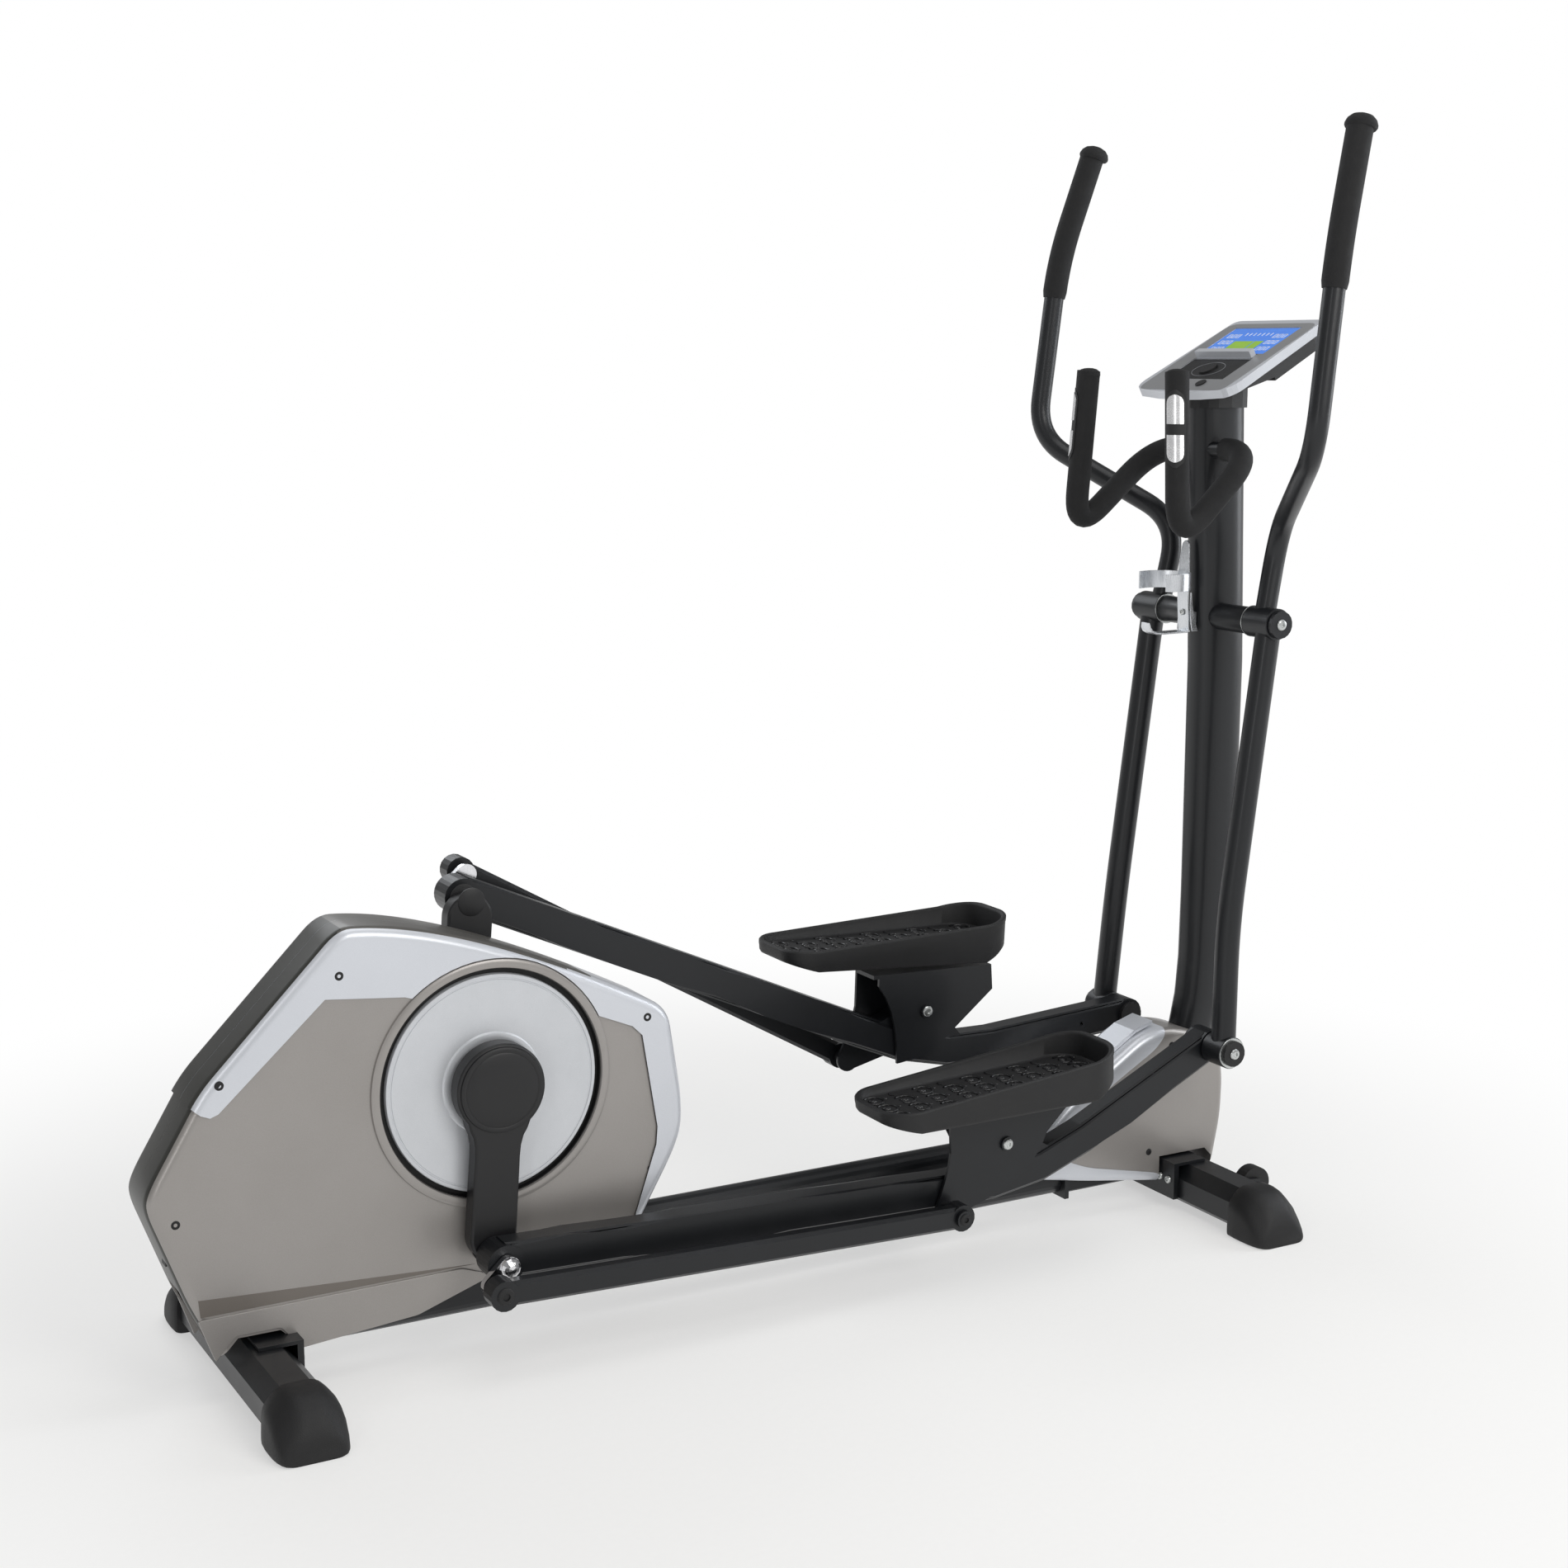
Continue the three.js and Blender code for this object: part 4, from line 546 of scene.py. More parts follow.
# ---------------------------------------------------------------- crank discs and their rings
# Each disc is a moulded silver cover on the crank, slightly dished, with a groove near its rim.
# A plain ring on the housing surrounds it and leaves a narrow gap, lined with a thin black ring as painted
# shade.
for side, sign in SIDES.items():
    out = (0, sign, 0)
    bm = bmesh.new()
    turned(bm, (axle.x, sign * 0.043, axle.z), out, [
        (0.013, 0), (0.1525, 0), (0.1525, 0.0055), (0.1515, 0.0075), (0.1495, 0.008), (0.147, 0.008),
        (0.1462, 0.0068), (0.1448, 0.0068), (0.144, 0.0078), (0.11, 0.0062), (0.072, 0.0055),
        (0.07, 0.0075), (0.064, 0.0082), (0.06, 0.007), (0.013, 0.007), (0.013, 0),
    ], 128)
    disc = piece_from(f"disc_{side}", bm, DISC_SILVER, "crank", 30)
    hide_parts(f"crank_disc_{side}")

    bm = bmesh.new()
    turned(bm, (axle.x, sign * 0.0421, axle.z), out, [
        (0.15, 0), (0.1602, 0), (0.1602, 0.0085), (0.1592, 0.0085), (0.1592, 0.0006), (0.15, 0.0006),
        (0.15, 0),
    ], 128)
    # The thin black ring paints the shade inside the gap round the disc.
    piece_from(f"recess_gap_painted_shade_{side}", bm, DARK, "frame", 30)

    bm = bmesh.new()
    turned(bm, (axle.x, sign * 0.046, axle.z), out, [
        (0.1605, 0), (0.1605, 0.006), (0.1615, 0.0082), (0.164, 0.0088), (0.17, 0.0086),
        (0.1725, 0.0072), (0.1735, 0.0045), (0.1735, 0), (0.1605, 0),
    ], 128)
    piece_from(f"disc_surround_{side}", bm, TAUPE, "frame", 30)

    bm = bmesh.new()
    turned(bm, (axle.x, sign * 0.086, axle.z), out, [
        (0, 0.0028), (0.03, 0.0026), (0.05, 0.0018), (0.052, 0.0008), (0.0532, 0.0014), (0.0565, 0.0012),
        (0.0588, 0.0002), (0.0595, -0.0018), (0.0595, -0.006), (0, -0.006),
    ], 96)
    piece_from(f"crank_hub_cap_{side}", bm, CRANK_BLACK, "crank", 40)

    tip = joint_place(f"crank_pin_{side}")
    along = (tip - axle).normalized()
    across = Vector((-along.z, 0, along.x))
    outline = [(0.229 + 0.037 * math.cos(math.radians(a)), 0.037 * math.sin(math.radians(a)))
               for a in range(-90, 91, 6)]
    outline += [(0.104, 0.036), (0.088, 0.0368), (0.073, 0.0402), (0.062, 0.046)]
    outline += [(0.0705 * math.cos(math.radians(a)), 0.0705 * math.sin(math.radians(a)))
                for a in range(45, 316, 6)]
    outline += [(0.062, -0.046), (0.073, -0.0402), (0.088, -0.0368), (0.104, -0.036)]
    placed = []
    for u, v in outline:
        spot = axle + along * u + across * v
        placed.append((spot.x, spot.z))
    bm = slab(placed, sign * 0.056, sign * 0.084)
    arm = piece_from(f"crank_{side}", bm, CRANK_BLACK, "crank", 35, 0.0035)
    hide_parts(f"crank_arm_{side}")

# ---------------------------------------------------------------- swept tubes
# Steel tube bent cold, so each corner is a smooth arc between straight runs.
# Foam sleeves are drawn over the same centreline as the tube inside them.
def rounded(points, reach, steps=12):
    """Points along straight runs joined by smooth bends that start `reach` from each corner."""
    points = [Vector(p) for p in points]
    path = [points[0]]
    for i in range(1, len(points) - 1):
        corner = points[i]
        start = corner.lerp(points[i - 1], reach / (corner - points[i - 1]).length)
        end = corner.lerp(points[i + 1], reach / (corner - points[i + 1]).length)
        for k in range(steps + 1):
            t = k / steps
            path.append(start * (1 - t) ** 2 + corner * 2 * t * (1 - t) + end * t ** 2)
    path.append(points[-1])
    return path


def split(path, limit):
    """Adds points so that no step of the path is longer than the limit."""
    dense = [path[0]]
    for a, b in zip(path, path[1:]):
        count = max(1, math.ceil((b - a).length / limit))
        dense += [a.lerp(b, k / count) for k in range(1, count + 1)]
    return dense


def sweep(bm, path, radius, sides=28, ends="closed"):
    """A round tube along a path; radius is a number or a function of the distance run."""
    run = 0.0
    previous = None
    across = None
    rings = []
    for i, point in enumerate(path):
        ahead = path[min(i + 1, len(path) - 1)] - path[max(i - 1, 0)]
        ahead.normalize()
        if across is None:
            across = ahead.orthogonal().normalized()
        across = (across - ahead * across.dot(ahead)).normalized()
        other = ahead.cross(across)
        if previous is not None:
            run += (point - previous).length
        previous = point
        size = radius(run) if callable(radius) else radius
        rings.append([
            bm.verts.new(point + (across * math.cos(a) + other * math.sin(a)) * size)
            for a in (2 * math.pi * k / sides for k in range(sides))
        ])
    for ring, following in zip(rings, rings[1:]):
        for k in range(sides):
            n = (k + 1) % sides
            bm.faces.new((ring[k], ring[n], following[n], following[k]))
    if ends == "closed":
        bm.faces.new(rings[0][::-1])
        bm.faces.new(rings[-1])


mast_pivot = joint_place("swing_right")
for side, sign in SIDES.items():
    lower = joint_place(f"lower_pivot_{side}")
    bm = bmesh.new()
    arm_path = rounded([
        (mast_pivot.x, sign * 0.143, mast_pivot.z - 0.01),
        (mast_pivot.x - 0.06, sign * 0.143, 0.478),
        (lower.x, sign * 0.154, lower.z + 0.012),
    ], 0.07)
    sweep(bm, split(arm_path, 0.03), 0.019, 32)
    turned(bm, (mast_pivot.x, sign * 0.107, mast_pivot.z), (0, sign, 0), [
        (0.0122, 0), (0.023, 0), (0.024, 0.001), (0.024, 0.057), (0.023, 0.058), (0.0122, 0.058),
        (0.0122, 0),
    ])
    turned(bm, (lower.x, sign * 0.131, lower.z), (0, sign, 0), [
        (0.0103, 0), (0.024, 0), (0.025, 0.001), (0.025, 0.043), (0.024, 0.044), (0.0103, 0.044),
        (0.0103, 0),
    ])
    arm = piece_from(f"lower_arm_{side}", bm, ENAMEL, f"swing_{side}")
    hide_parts(f"swing_arm_{side}")

    handle_path = split(rounded([
        (0.8025, sign * 0.128, mast_pivot.z + 0.018),
        (0.8275, sign * 0.124, 1.082),
        (0.6995, sign * 0.343, 1.212),
        (0.7345, sign * 0.338, 1.5),
        (0.7835, sign * 0.317, 1.668),
    ], 0.062), 0.02)
    bm = bmesh.new()
    sweep(bm, handle_path[:-1], 0.016, 32)
    handle = piece_from(f"handle_tube_{side}", bm, ENAMEL, f"swing_{side}")
    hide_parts(f"handle_{side}")

    sleeve_path = [p for p in handle_path if p.z > 1.438]
    bm = bmesh.new()
    sweep(bm, sleeve_path, lambda run: 0.0178 + 0.0017 * min(1, run / 0.004), 36)
    turned(bm, sleeve_path[-1] + Vector((0, 0, -0.008)), (0.27, -sign * 0.1, 1), [
        (0, 0.022), (0.008, 0.0215), (0.016, 0.0185), (0.0215, 0.013), (0.0238, 0.007),
        (0.0238, 0.004), (0.022, 0.001), (0.019, 0), (0, 0),
    ], 40)
    grip = piece_from(f"foam_sleeve_{side}", bm, FOAM, f"swing_{side}")
    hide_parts(f"handle_grip_{side}")

# ---------------------------------------------------------------- fixed handlebar
# One bent tube through the mast, with foam over each arm from its tip almost to the mast.
# Each upright carries a dark moulded insert with two bright pulse plates facing the rider.
def handlebar_path(sign, top, step):
    return split(rounded([
        (0.6335, sign * 0.11, top), (0.6265, sign * 0.131, 1.068),
        (0.7765, sign * 0.121, 1.203), (0.7765, 0, 1.203),
    ], 0.068), step)


def pulse_patch(sign, low, high, radius, spread, round_low, round_high):
    """A thin plate bent round the upright, its ends rounded over the stated lengths."""
    bm = bmesh.new()
    grid = []
    for k in range(17):
        z = low + (high - low) * k / 16
        narrow = 1.0
        if round_low and z < low + round_low:
            narrow = math.sqrt(max(0.02, 1 - (1 - (z - low) / round_low) ** 2))
        if round_high and z > high - round_high:
            narrow = min(narrow, math.sqrt(max(0.02, 1 - (1 - (high - z) / round_high) ** 2)))
        rise = (z - 1.068) / 0.247
        centre = Vector((0.6265 + 0.007 * rise, sign * (0.131 - 0.021 * rise), z))
        row = []
        for j in range(9):
            angle = math.radians(180 - sign * 42 + spread * narrow * (j - 4) / 4)
            row.append(bm.verts.new(centre + Vector((math.cos(angle), math.sin(angle), 0)) * radius))
        grid.append(row)
    for row, following in zip(grid, grid[1:]):
        for j in range(8):
            bm.faces.new((row[j], row[j + 1], following[j + 1], following[j]))
    bmesh.ops.recalc_face_normals(bm, faces=bm.faces)
    bmesh.ops.solidify(bm, geom=bm.faces[:], thickness=0.0009)
    return bm


bm = bmesh.new()
for sign in SIDES.values():
    sweep(bm, handlebar_path(sign, 1.315, 0.02), 0.0127, 28)
bar = piece_from("bar_tube", bm, ENAMEL, "frame")
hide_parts("fixed_handlebar")
for side, sign in SIDES.items():
    foam_path = [p for p in handlebar_path(sign, 1.322, 0.012) if abs(p.y) > 0.047]
    bm = bmesh.new()
    sweep(bm, foam_path, 0.018, 36)
    turned(bm, foam_path[0] - Vector((0, 0, 0.004)), (0, 0, 1), [
        (0, 0.0085), (0.006, 0.0082), (0.012, 0.0066), (0.0162, 0.0036), (0.018, -0.0004),
        (0.018, -0.004), (0, -0.004),
    ], 40)
    foam = piece_from(f"bar_foam_{side}", bm, FOAM, "frame")
    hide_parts(f"fixed_grip_{side}")

    insert = pulse_patch(sign, 1.182, 1.296, 0.0184, 52, 0.022, 0.022)
    piece_from(f"pulse_insert_{side}", insert, PLASTIC, "frame", 40)
    lower_plate = pulse_patch(sign, 1.19, 1.23, 0.0201, 40, 0.014, 0)
    piece_from(f"pulse_plate_{side}_0", lower_plate, SATIN, "frame", 40)
    upper_plate = pulse_patch(sign, 1.246, 1.289, 0.0201, 40, 0, 0.014)
    piece_from(f"pulse_plate_{side}_1", upper_plate, SATIN, "frame", 40)

# ---------------------------------------------------------------- mast
# A tall flattened oval tube, widest at hand height and drawn in where it meets the shroud.
# Its open top is hidden inside the console's neck.
MAST_STATIONS = [
    (0.152, 0.7815, 0.034, 0.028), (0.268, 0.7825, 0.036, 0.029), (0.33, 0.7985, 0.039, 0.03),
    (0.39, 0.8065, 0.042, 0.031), (0.5, 0.8105, 0.044, 0.032), (0.87, 0.8115, 0.045, 0.032),
    (1.283, 0.7975, 0.045, 0.032),
]


def smooth_station(z):
    """The mast's centre and half widths at a height, eased between the stated stations."""
    for low, high in zip(MAST_STATIONS, MAST_STATIONS[1:]):
        if z <= high[0]:
            t = (z - low[0]) / (high[0] - low[0])
            return [a + (b - a) * t for a, b in zip(low[1:], high[1:])]
    return list(MAST_STATIONS[-1][1:])


bm = bmesh.new()
sides = 64
levels = [0.152 + (1.283 - 0.152) * k / 90 for k in range(91)]
mast_rings = []
for z in levels:
    x, half_x, half_y = smooth_station(z)
    ring = []
    for k in range(sides):
        c, s = math.cos(2 * math.pi * k / sides), math.sin(2 * math.pi * k / sides)
        ring.append(bm.verts.new((
            x + half_x * math.copysign(abs(c) ** 0.8, c),
            half_y * math.copysign(abs(s) ** 0.8, s),
            z,
        )))
    mast_rings.append(ring)
for ring, following in zip(mast_rings, mast_rings[1:]):
    for k in range(sides):
        n = (k + 1) % sides
        bm.faces.new((ring[k], ring[n], following[n], following[k]))
turned(bm, (mast_pivot.x, -0.105, mast_pivot.z), (0, 1, 0), [
    (0.0124, 0), (0.0202, 0), (0.021, 0.001), (0.021, 0.209), (0.0202, 0.21), (0.0124, 0.21), (0.0124, 0),
])
mast = piece_from("mast_tube", bm, ENAMEL, "frame", 50)
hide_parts("mast")

# ---------------------------------------------------------------- pedals
# Each pedal is one deep moulded tray with a rolled rim, higher at the toe, on its bracket.
# Rows of raised scales, studs and bars on the tray's floor keep the shoe from slipping.
def pedal_outline(margin, steps=14):
    """Points round the tray in its own frame: an oblong with broad round corners, slimmer at the heel."""
    corners = [
        (0.162, 0.0775, 0.056), (-0.243, 0.0735, 0.046),
        (-0.243, -0.0735, 0.046), (0.162, -0.0775, 0.056),
    ]
    points = []
    for index, (x, y, radius) in enumerate(corners):
        centre_x = x - math.copysign(radius, x)
        centre_y = y - math.copysign(radius, y)
        for k in range(steps + 1):
            angle = math.radians(90 * (index + k / steps))
            reach = radius - margin
            points.append((centre_x + reach * math.cos(angle), centre_y + reach * math.sin(angle)))
    return points


def rim_height(x):
    """The rim's height above the bracket bolt, rising towards the toe."""
    return 0.1115 + 0.005 * max(0.0, min(1.0, (x + 0.24) / 0.2)) + 0.024 * max(0.0, (x + 0.04) / 0.2) ** 2


def under_height(x):
    rear = 0.0255 * max(0.0, min(1.0, (-x - 0.15) / 0.09))
    front = 0.028 * max(0.0, min(1.0, (x - 0.1) / 0.062))
    return 0.065 + rear + front


for side, sign in SIDES.items():
    bolt_at = joint_place(f"pedal_pivot_{side}")
    pitch = math.radians(-2.5 if side == "right" else 2)
    place = Matrix.Translation((bolt_at.x, sign * 0.1475, bolt_at.z)) @ Matrix.Rotation(pitch, 4, "Y")
    bm = bmesh.new()
    loops = []
    layers = [
        (0.012, lambda x: under_height(x)), (0.004, lambda x: under_height(x) + 0.001),
        (0.0012, lambda x: under_height(x) + 0.005), (0.0008, lambda x: rim_height(x) - 0.011),
        (0.0, lambda x: rim_height(x) - 0.007), (0.0, lambda x: rim_height(x) - 0.0025),
        (0.0018, lambda x: rim_height(x) - 0.0004), (0.005, lambda x: rim_height(x)),
        (0.0075, lambda x: rim_height(x) - 0.0012), (0.0085, lambda x: rim_height(x) - 0.004),
        (0.0105, lambda x: 0.103), (0.013, lambda x: 0.1006), (0.018, lambda x: 0.1),
    ]
    for margin, height in layers:
        loops.append([bm.verts.new((x, y, height(x))) for x, y in pedal_outline(margin)])
    for ring, following in zip(loops, loops[1:]):
        for k in range(len(ring)):
            n = (k + 1) % len(ring)
            bm.faces.new((ring[k], ring[n], following[n], following[k]))
    bm.faces.new(loops[0][::-1])
    bm.faces.new(loops[-1])
    bm.transform(place)
    tray = piece_from(f"pedal_tray_{side}", bm, PLASTIC, f"pedal_{side}", 40)
    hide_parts(f"pedal_{side}")

    bm = bmesh.new()
    for row in range(9):
        x = -0.212 + row * 0.042
        for column in range(-1, 2):
            y = column * 0.039 + (0.0195 if row % 2 else 0)
            if abs(y) > 0.05:
                continue
            arc = []
            for k in range(17):
                angle = math.radians(-125 + 250 * k / 16)
                arc.append(Vector((x + 0.0155 * math.cos(angle), y + 0.0155 * math.sin(angle), 0.1003)))
            sweep(bm, arc, 0.0021, 8)
            turned(bm, (x - 0.001, y, 0.0998), (0, 0, 1), [
                (0, 0.0034), (0.0045, 0.003), (0.0068, 0.0012), (0.0068, -0.0005), (0, -0.0005),
            ], 20)
            for turn in (-70, 0, 70):
                near = math.radians(turn)
                turned(bm, (x + 0.0205 * math.cos(near), y + 0.0185 * math.sin(near), 0.0998), (0, 0, 1), [
                    (0, 0.0022), (0.0018, 0.0019), (0.0026, 0.0006), (0.0026, -0.0005), (0, -0.0005),
                ], 12)
    for row in range(4):
        wave = [Vector((-0.17 + row * 0.084 + 0.007 * math.sin(k * 0.9), -0.055 + 0.0055 * k, 0.1002))
                for k in range(21)]
        sweep(bm, wave, 0.0017, 8)
    bm.transform(place)
    piece_from(f"pedal_tread_{side}", bm, TREAD, f"pedal_{side}", 60)

# ---------------------------------------------------------------- bottle cage
# Bent from brushed aluminium strip: a tapered spine screwed to the mast, an open ring and a foot.
# The foot's lip curls up so that the bottle can't slide off.
def tablet(bm, x0, x1, y0, y1, z0, z1):
    made = bmesh.ops.create_cube(bm, size=1)
    size = Matrix.Diagonal((x1 - x0, y1 - y0, z1 - z0, 1))
    centre = Matrix.Translation(((x0 + x1) / 2, (y0 + y1) / 2, (z0 + z1) / 2))
    bmesh.ops.transform(bm, matrix=centre @ size, verts=made["verts"])


def strip(bm, path, across, thick, width):
    """A flat strip along a path. Across is its width direction, width a number or one per point."""
    rings = []
    for i, point in enumerate(path):
        ahead = (path[min(i + 1, len(path) - 1)] - path[max(i - 1, 0)]).normalized()
        normal = ahead.cross(across).normalized() * thick / 2
        half = across * (width[i] if isinstance(width, list) else width) / 2
        around = (normal - half, normal + half, -normal + half, -normal - half)
        rings.append([bm.verts.new(point + corner) for corner in around])
    for ring, following in zip(rings, rings[1:]):
        for k in range(4):
            n = (k + 1) % 4
            bm.faces.new((ring[k], ring[n], following[n], following[k]))
    bm.faces.new(rings[0][::-1])
    bm.faces.new(rings[-1])


bm = bmesh.new()
spine_path, spine_width = [], []
for k in range(33):
    t = k / 32
    z = 0.9195 + 0.1425 * t
    spine_path.append(Vector((0.748 - 0.004 * math.sin(math.pi * t), 0, z)))
    taper = 1 - max(0.0, (t - 0.62) / 0.38) ** 1.6 * 0.45
    round_off = math.sqrt(max(0.05, 1 - ((t - 0.95) / 0.05) ** 2)) if t > 0.95 else 1
    spine_width.append(0.026 * taper * round_off)
strip(bm, spine_path, Vector((0, 1, 0)), 0.0028, spine_width)
ring_path = [Vector((0.7065 + 0.0398 * math.cos(a), 0.0398 * math.sin(a), 1.0))
             for a in (math.radians(-125 + 237 * k / 48) for k in range(49))]
ring_path.append(ring_path[-1] + Vector((-0.006, -0.0005, 0)))
strip(bm, ring_path, Vector((0, 0, 1)), 0.0022, 0.027)
foot_path = [Vector((x, 0, z)) for x, z in (
    (0.7476, 0.9215), (0.745, 0.9195), (0.7, 0.9192), (0.684, 0.92),
    (0.6765, 0.924), (0.673, 0.93), (0.6722, 0.937),
)]
strip(bm, foot_path, Vector((0, 1, 0)), 0.0025, [0.026, 0.026, 0.026, 0.025, 0.024, 0.022, 0.018])
for sign in SIDES.values():
    flange = []
    for k in range(11):
        t = k / 10
        y = sign * (0.0125 + 0.006 * (1 - t) ** 2)
        flange.append(Vector((0.7495 + 0.0045 * (1 - t) ** 2, y, 0.921 + 0.06 * t)))
    strip(bm, flange, Vector((1, 0, 0)), 0.0018, [0.011 * (1 - 0.08 * k) for k in range(11)])
tablet(bm, 0.7485, 0.7635, -0.01, 0.01, 0.93, 0.95)
cage = piece_from("cage_strip", bm, BRUSHED, "frame", 30, 0.0004)
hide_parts("bottle_cage")

# ---------------------------------------------------------------- console face
# The display is printed behind a clear window: a blue field, two lime blocks and pale figures.
# The keypad is a dark membrane with one printed oval, and a grey face plate frames them both.
console_turn = Matrix.Rotation(math.radians(-28.4), 4, "Y")
console_place = Matrix.Translation((0.8155, 0, 1.344)) @ console_turn


def display_material():
    material = finish_material("blue_display", "#2f8df0", "#1668d8", (0.08, 0.14), 0, 0.06, 0.002, 0.02, 0.8)
    shader = material.node_tree.nodes["Principled BSDF"]
    shader.inputs["Emission Color"].default_value = linear("#1a6ee0")
    shader.inputs["Emission Strength"].default_value = 0.35
    return material


frame["nodes"]["console_lens"].data.materials.clear()
frame["nodes"]["console_lens"].data.materials.append(display_material())
LIME = finish_material("lime_segment", "#a8d83a", "#8fc22c", (0.15, 0.25), 0, 0.02, 0.001, 0.02)
PALE = finish_material("pale_segment", "#f2f6fb", "#dbe6f4", (0.15, 0.25), 0, 0.02, 0.001, 0.02)

bm = bmesh.new()
tablet(bm, 0.014, 0.05, -0.034, -0.0145, -0.0008, -0.0002)
tablet(bm, 0.014, 0.05, -0.0115, 0.034, -0.0008, -0.0002)
bm.transform(console_place)
piece_from("display_bars", bm, LIME, "frame")

bm = bmesh.new()
for row in range(3):
    for sign in SIDES.values():
        for column in range(3):
            y = sign * (0.044 + column * 0.0105)
            x = 0.022 + row * 0.02
            tablet(bm, x, x + 0.009, y - 0.0035, y - 0.0023, -0.0008, -0.0002)
            tablet(bm, x, x + 0.009, y + 0.0023, y + 0.0035, -0.0008, -0.0002)
            tablet(bm, x - 0.0012, x, y - 0.0035, y + 0.0035, -0.0008, -0.0002)
            tablet(bm, x + 0.009, x + 0.0102, y - 0.0035, y + 0.0035, -0.0008, -0.0002)
for column in range(7):
    y = -0.03 + column * 0.01
    tablet(bm, 0.068, 0.076, y - 0.001, y + 0.001, -0.0008, -0.0002)
bm.transform(console_place)
piece_from("display_figures", bm, PALE, "frame")

bm = bmesh.new()
oval = [Vector((-0.04 + 0.021 * math.cos(a), 0.034 * math.sin(a), -0.0005))
        for a in (2 * math.pi * k / 48 for k in range(49))]
sweep(bm, oval, 0.0006, 8)
bm.transform(console_place)
PRINT = finish_material("grey_print", "#77797d", "#66686c", (0.3, 0.4))
piece_from("keypad_keys", bm, PRINT, "frame")

face_outline = fillet([(-0.106, -0.104), (0.106, -0.104), (0.106, 0.104), (-0.106, 0.104)], 0.02, 5)
plate = moulding(face_outline, 1, 0.0006, 0.0003)
plate.transform(Matrix.Rotation(math.radians(90), 4, "X"))
cut = bmesh.new()
tablet(cut, 0.0075, 0.0925, -0.0785, 0.0785, -0.01, 0.01)
tablet(cut, -0.0725, -0.0075, -0.0705, 0.0705, -0.01, 0.01)
tablet(cut, -0.0075, 0.0075, -0.0665, 0.0665, -0.01, 0.01)
for y in (-0.034, 0.034):
    turned(cut, (-0.086, y, -0.01), (0, 0, 1), [(0, 0), (0.0094, 0), (0.0094, 0.02), (0, 0.02)], 40)
plate = carve(plate, [cut])
plate.transform(console_place)
CONSOLE_GREY = finish_material("grey_console_skin", "#97989a", "#8a8b8d", (0.34, 0.44), 0.3, 0.1, 0.0006,
                               0.05)
piece_from("console_face", plate, CONSOLE_GREY, "frame", 30)

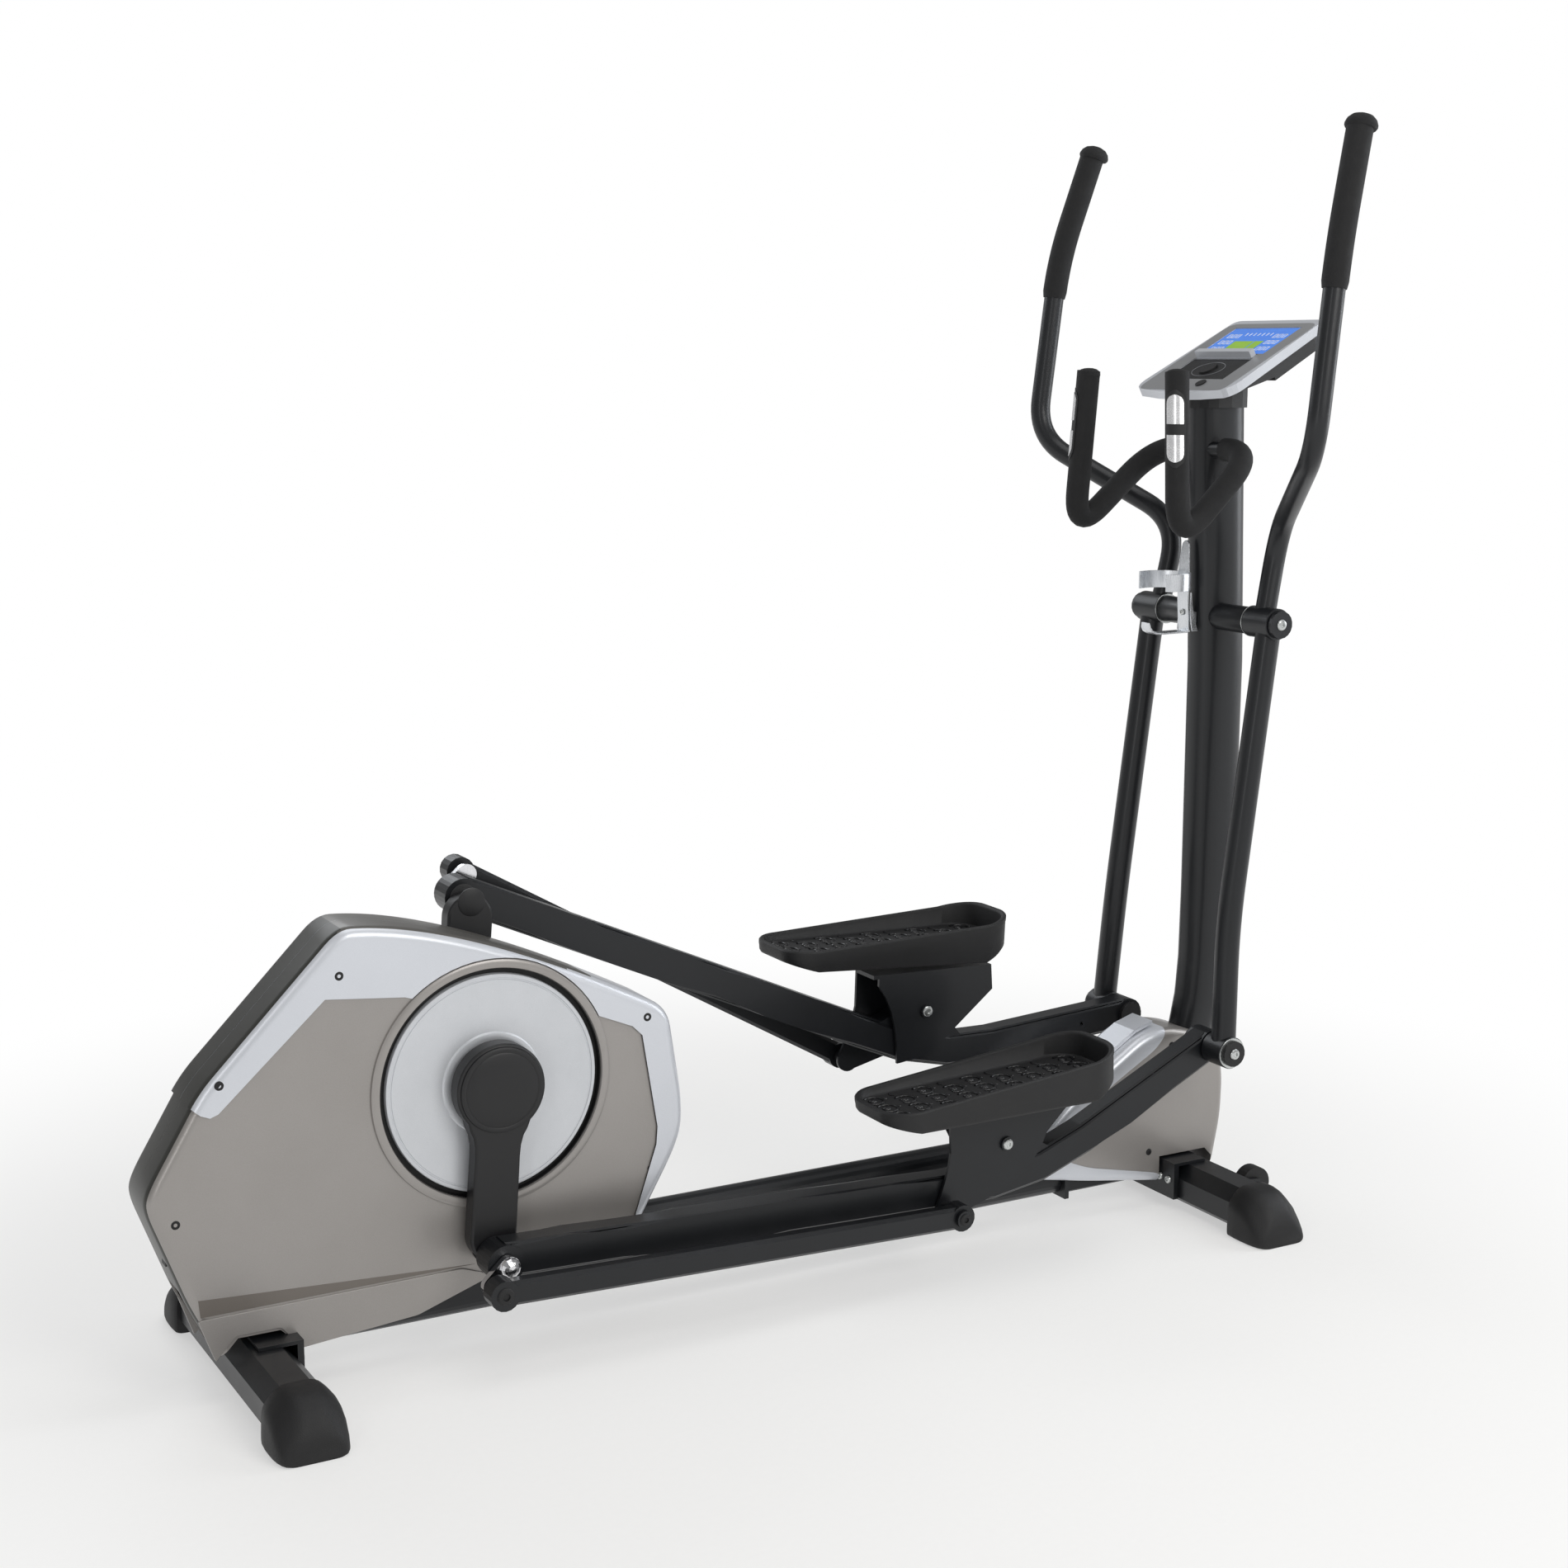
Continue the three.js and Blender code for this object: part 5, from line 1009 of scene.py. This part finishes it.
# ---------------------------------------------------------------- screws, caps and washers
# Small fasteners hold the covers and pivots; each sits in or on the face that it clamps.
# The covers use sunk screws drawn as black discs, partly their own black and partly painted shade of their
# recesses; the brackets bright button heads, the pivots domed caps.
for side, sign in SIDES.items():
    out = (0, sign, 0)
    for index, (x, z) in enumerate([
        (-0.6605, 0.552), (-0.8235, 0.428), (-0.8865, 0.252),
        (-0.2175, 0.437), (-0.2125, 0.215), (-0.7285, 0.1),
    ]):
        raised = 0.0528 if index in (0, 1, 3) else 0.0498
        bm = bmesh.new()
        turned(bm, (x, sign * raised, z), out, [
            (0, 0.0001), (0.0024, 0.0001), (0.0026, 0.0006), (0.005, 0.0006), (0.006, 0.0002),
            (0.0064, -0.0006), (0, -0.0006),
        ], 24)
        # Black screw face: the screw's own black plus painted shade of its recess.
        piece_from(f"cover_screw_{side}_{index}", bm, DARK, "frame")
    for index, (x, z) in enumerate([(0.711, 0.263), (0.671, 0.092)]):
        # Dark shroud screws: their own black plus painted shade of their recesses.
        bolt(f"shroud_screw_{side}_{index}", (x, sign * 0.0458, z), out, 0.0055, 0.0012, "frame",
             DARK)

    lower = joint_place(f"lower_pivot_{side}")
    bm = bmesh.new()
    turned(bm, (lower.x, sign * 0.1745, lower.z), out, [
        (0.011, 0), (0.0235, 0), (0.024, 0.0008), (0.0235, 0.0016), (0.011, 0.0016), (0.011, 0),
    ])
    piece_from(f"lower_washer_{side}", bm, ZINC, f"swing_{side}")
    bolt(f"lower_bolt_{side}", (lower.x, sign * 0.182, lower.z), out, 0.0085, 0.0032, f"lower_pin_{side}")
    bolt(f"mast_bolt_{side}", (mast_pivot.x, sign * 0.173, mast_pivot.z), out, 0.0085, 0.0032, "frame")
    bm = bmesh.new()
    turned(bm, (mast_pivot.x, sign * 0.1052, mast_pivot.z), out, [
        (0.0128, 0), (0.0238, 0), (0.0242, 0.0007), (0.0238, 0.0014), (0.0128, 0.0014), (0.0128, 0),
    ])
    piece_from(f"mast_washer_{side}", bm, ZINC, f"swing_{side}")

    pedal_bolt = joint_place(f"pedal_pivot_{side}")
    bolt(f"bracket_bolt_{side}", (pedal_bolt.x, sign * 0.1398, pedal_bolt.z), out, 0.0085, 0.003,
         f"pedal_{side}")
    bolt(f"bracket_bolt_in_{side}", (pedal_bolt.x, sign * 0.0762, pedal_bolt.z), (0, -sign, 0),
         0.0085, 0.003, f"pedal_{side}")
    link_eye = joint_place(f"link_pivot_{side}")
    bolt(f"link_front_bolt_{side}", (link_eye.x, sign * 0.1858, link_eye.z), out, 0.009, 0.003,
         f"pedal_{side}", PLASTIC)
    pin = joint_place(f"crank_pin_{side}")
    turn = math.radians(-137 if side == "right" else 43)
    rear_eye = Vector((pin.x + 0.032 * math.cos(turn), 0, pin.z + 0.032 * math.sin(turn)))
    bolt(f"link_rear_bolt_{side}", (rear_eye.x, sign * 0.1828, rear_eye.z), out, 0.012, 0.003,
         f"link_{side}", PLASTIC)
    bm = bmesh.new()
    turned(bm, (pin.x, sign * 0.0875, pin.z), (0, -sign, 0), [
        (0, 0.0006), (0.018, 0.0006), (0.0195, 0.0), (0.0195, -0.0015), (0, -0.0015),
    ])
    piece_from(f"pin_shim_{side}", bm, PLASTIC, f"return_crank_{side}")
    crank_tip = Vector((pin.x, sign * 0.0562, pin.z))
    bm = bmesh.new()
    turned(bm, crank_tip, (0, -sign, 0), [
        (0, 0.0012), (0.0185, 0.0012), (0.02, 0.0004), (0.02, -0.001), (0, -0.001),
    ])
    piece_from(f"crank_tip_cap_{side}", bm, CRANK_BLACK, "crank")
    for place, x, facing in (("rear", -0.734, 1), ("front", 0.6965, -1)):
        for index, y in enumerate((0.045, 0.066)):
            bolt(f"saddle_bolt_{place}_{side}_{index}", (x, sign * y, 0.048), (facing, 0, 0),
                 0.0065, 0.004, "frame", ZINC)

bolt("cage_screw", (0.7425, 0, 0.95), (-1, 0, 0), 0.005, 0.002, "frame")
